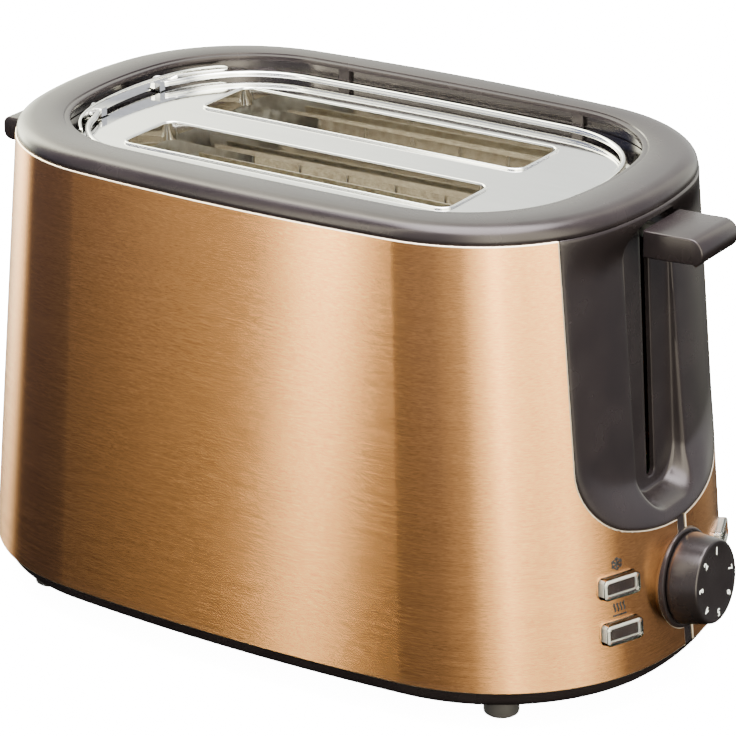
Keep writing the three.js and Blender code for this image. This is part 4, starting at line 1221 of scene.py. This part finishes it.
def feet():
    """Rubber feet with a rounded pad and a stem into the base."""
    profile = [(0, 0.0), (4.9, 0.0), (5.5, 0.15), (6.1, 0.6), (6.3, 1.3), (6.3, 5.3), (6.1, 5.9), (5.6, 6.2),
               (2.4, 6.2), (2.4, 10.0), (0, 10.0)]
    upright = Matrix(((0, 1, 0, 0), (0, 0, 1, 0), (1, 0, 0, 0), (0, 0, 0, 1)))
    for index, (x, y) in enumerate(FOOT_PLACES, 1):
        at = Matrix.Translation((x, y, 0)) @ upright
        foot = piece(f"rubber_foot_{index}", *turned(profile, sides=48), RUBBER, at)
        settle(foot, "shell", "rubber", f"foot_{index}")


# ---------------------------------------------------------------- carried-over frame nodes

def dress_frame_nodes():
    """Materials and flat shading for the frame's own pieces."""
    looks = {
        "magnet_coil": WINDING, "control_board": BOARD, "potentiometer": BOARD, "cord_gland": RUBBER,
        "crumb_tray": BLACK, "rack_bracket": CHROME, "reflector_1": CHROME, "reflector_2": CHROME,
        "defrost_switch": RUBBER, "reheat_switch": RUBBER, "stop_switch": RUBBER,
    }
    for name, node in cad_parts.items():
        look = looks.get(name, STEEL)
        if name.startswith("heater_card"):
            look = MICA
        if name.startswith("heating_ribbon"):
            look = RIBBON
        node.data.materials.clear()
        node.data.materials.append(look)
        node.data.polygons.foreach_set("use_smooth", [False] * len(node.data.polygons))


# ---------------------------------------------------------------- studio

# Compass direction in degrees from the near side towards the control end, and brightness there.
STUDIO = [
    (-180, 0.045), (-150, 0.05), (-125, 0.20), (-106, 0.66), (-97.5, 0.43), (-91.5, 0.07), (-86, 0.008),
    (-60, 0.012), (-46, 0.015), (-40, 0.036), (-37.5, 0.052), (-35, 0.060), (-32.5, 0.066), (-30.5, 0.076),
    (-28.6, 0.14), (-27.1, 0.70), (-26.0, 1.0), (-25.2, 0.60), (-24.5, 0.20), (-23.6, 0.06), (-20, 0.026),
    (5, 0.030), (22, 0.060), (34, 0.22), (42, 0.40), (50, 0.28), (60, 0.23), (78, 0.28), (92, 0.14),
    (106, 0.03), (150, 0.025), (168, 0.08),
]
STUDIO_STRENGTH = 10.5
LOW_SHARE, HIGH_SHARE = 0.06, 1.8
SHARE_HEIGHTS = (-0.42, -0.08)
CEILING = 2.4
CEILING_HEIGHTS = (0.84, 0.96)
FLOOR_GLOW = 14.0
CAMERA = {"place": (639.8, -987.2, 560.0), "azimuth": 32.68, "elevation": 21.88, "lens": 171.55}


def worked(tree, operation, first, second):
    """The result of a sum in a tree's nodes."""
    return add_node(tree, "ShaderNodeMath", {0: first, 1: second}, operation=operation).outputs["Value"]


def emission_world():
    """A soft studio: brightness set by compass direction and fading downwards, with a bright ceiling."""
    world = bpy.data.worlds.new("studio")
    world.use_nodes = True
    bpy.context.scene.world = world
    tree = world.node_tree
    at = add_node(tree, "ShaderNodeTexCoord").outputs["Generated"]
    split = add_node(tree, "ShaderNodeSeparateXYZ", {"Vector": at}).outputs
    compass = worked(tree, "ARCTAN2", split["X"], worked(tree, "MULTIPLY", split["Y"], -1.0))
    ramp = add_node(tree, "ShaderNodeValToRGB", {"Fac": ranged(tree, compass, 0, 1, (-math.pi, math.pi))})
    elements = ramp.color_ramp.elements
    elements.remove(elements[1])
    elements[0].position = 0.0
    elements[0].color = tone(STUDIO[0][1])
    for degrees, value in STUDIO[1:]:
        elements.new((degrees + 180) / 360).color = tone(value)
    share = worked(tree, "POWER", ranged(tree, split["Z"], LOW_SHARE, HIGH_SHARE, SHARE_HEIGHTS), 2.0)
    inputs = {"Vector": ramp.outputs["Color"], "Scale": share}
    walls = add_node(tree, "ShaderNodeVectorMath", inputs, operation="SCALE").outputs["Vector"]
    overhead = ranged(tree, split["Z"], 0, 1, CEILING_HEIGHTS, interpolation_type="SMOOTHSTEP")
    background = tree.nodes["Background"]
    light = blended(tree, overhead, walls, (CEILING, CEILING, CEILING, 1))
    tree.links.new(light, background.inputs["Color"])
    background.inputs["Strength"].default_value = STUDIO_STRENGTH


def tone(value):
    """Light of one brightness: warm where it is bright, cooler in the shade."""
    return (value, 1.01 * value + 0.001, 0.76 * value + 0.010, 1)


def studio_floor():
    """A large pale floor that lights nothing itself."""
    reach = 12.0
    mesh = bpy.data.meshes.new("floor")
    corners = [(-reach, -reach, 0), (reach, -reach, 0), (reach, reach, 0), (-reach, reach, 0)]
    mesh.from_pydata(corners, [], [(0, 1, 2, 3)])
    floor = linked("floor", mesh)
    made, shader = new_material("pale_floor", (0.92, 0.92, 0.92), 0.0, 0.7)
    shader.inputs["Emission Color"].default_value = (1, 1, 1, 1)
    shader.inputs["Emission Strength"].default_value = FLOOR_GLOW
    floor.data.materials.append(made)
    floor.visible_diffuse = False
    floor.visible_glossy = False
    floor.visible_transmission = False


def camera():
    """The photo's view: a long lens, looking down on the control end and the near side."""
    data = bpy.data.cameras.new("camera")
    data.lens = CAMERA["lens"]
    data.sensor_width = 36
    data.clip_start, data.clip_end = 0.05, 50
    made = linked("camera", data)
    made.location = place(CAMERA["place"])
    made.rotation_euler = (math.radians(90 - CAMERA["elevation"]), 0, math.radians(CAMERA["azimuth"]))
    bpy.context.scene.camera = made


# ---------------------------------------------------------------- scene

steel_wrap()
wrap_hems()
top_ring()
recess_shade_and_posts()
top_plate()
end_panel()
panel_strip()
knob_seat()
browning_knob()
dial_numerals()
for button_name in BUTTON_PLACES:
    push_button(button_name)
printed_signs()
lever_handle()
bun_lever_handle()
rear_bezel()
wire_rack()
rack_cross_bar()
bread_guards()
base_pan()
feet()
dress_frame_nodes()
emission_world()
studio_floor()
camera()
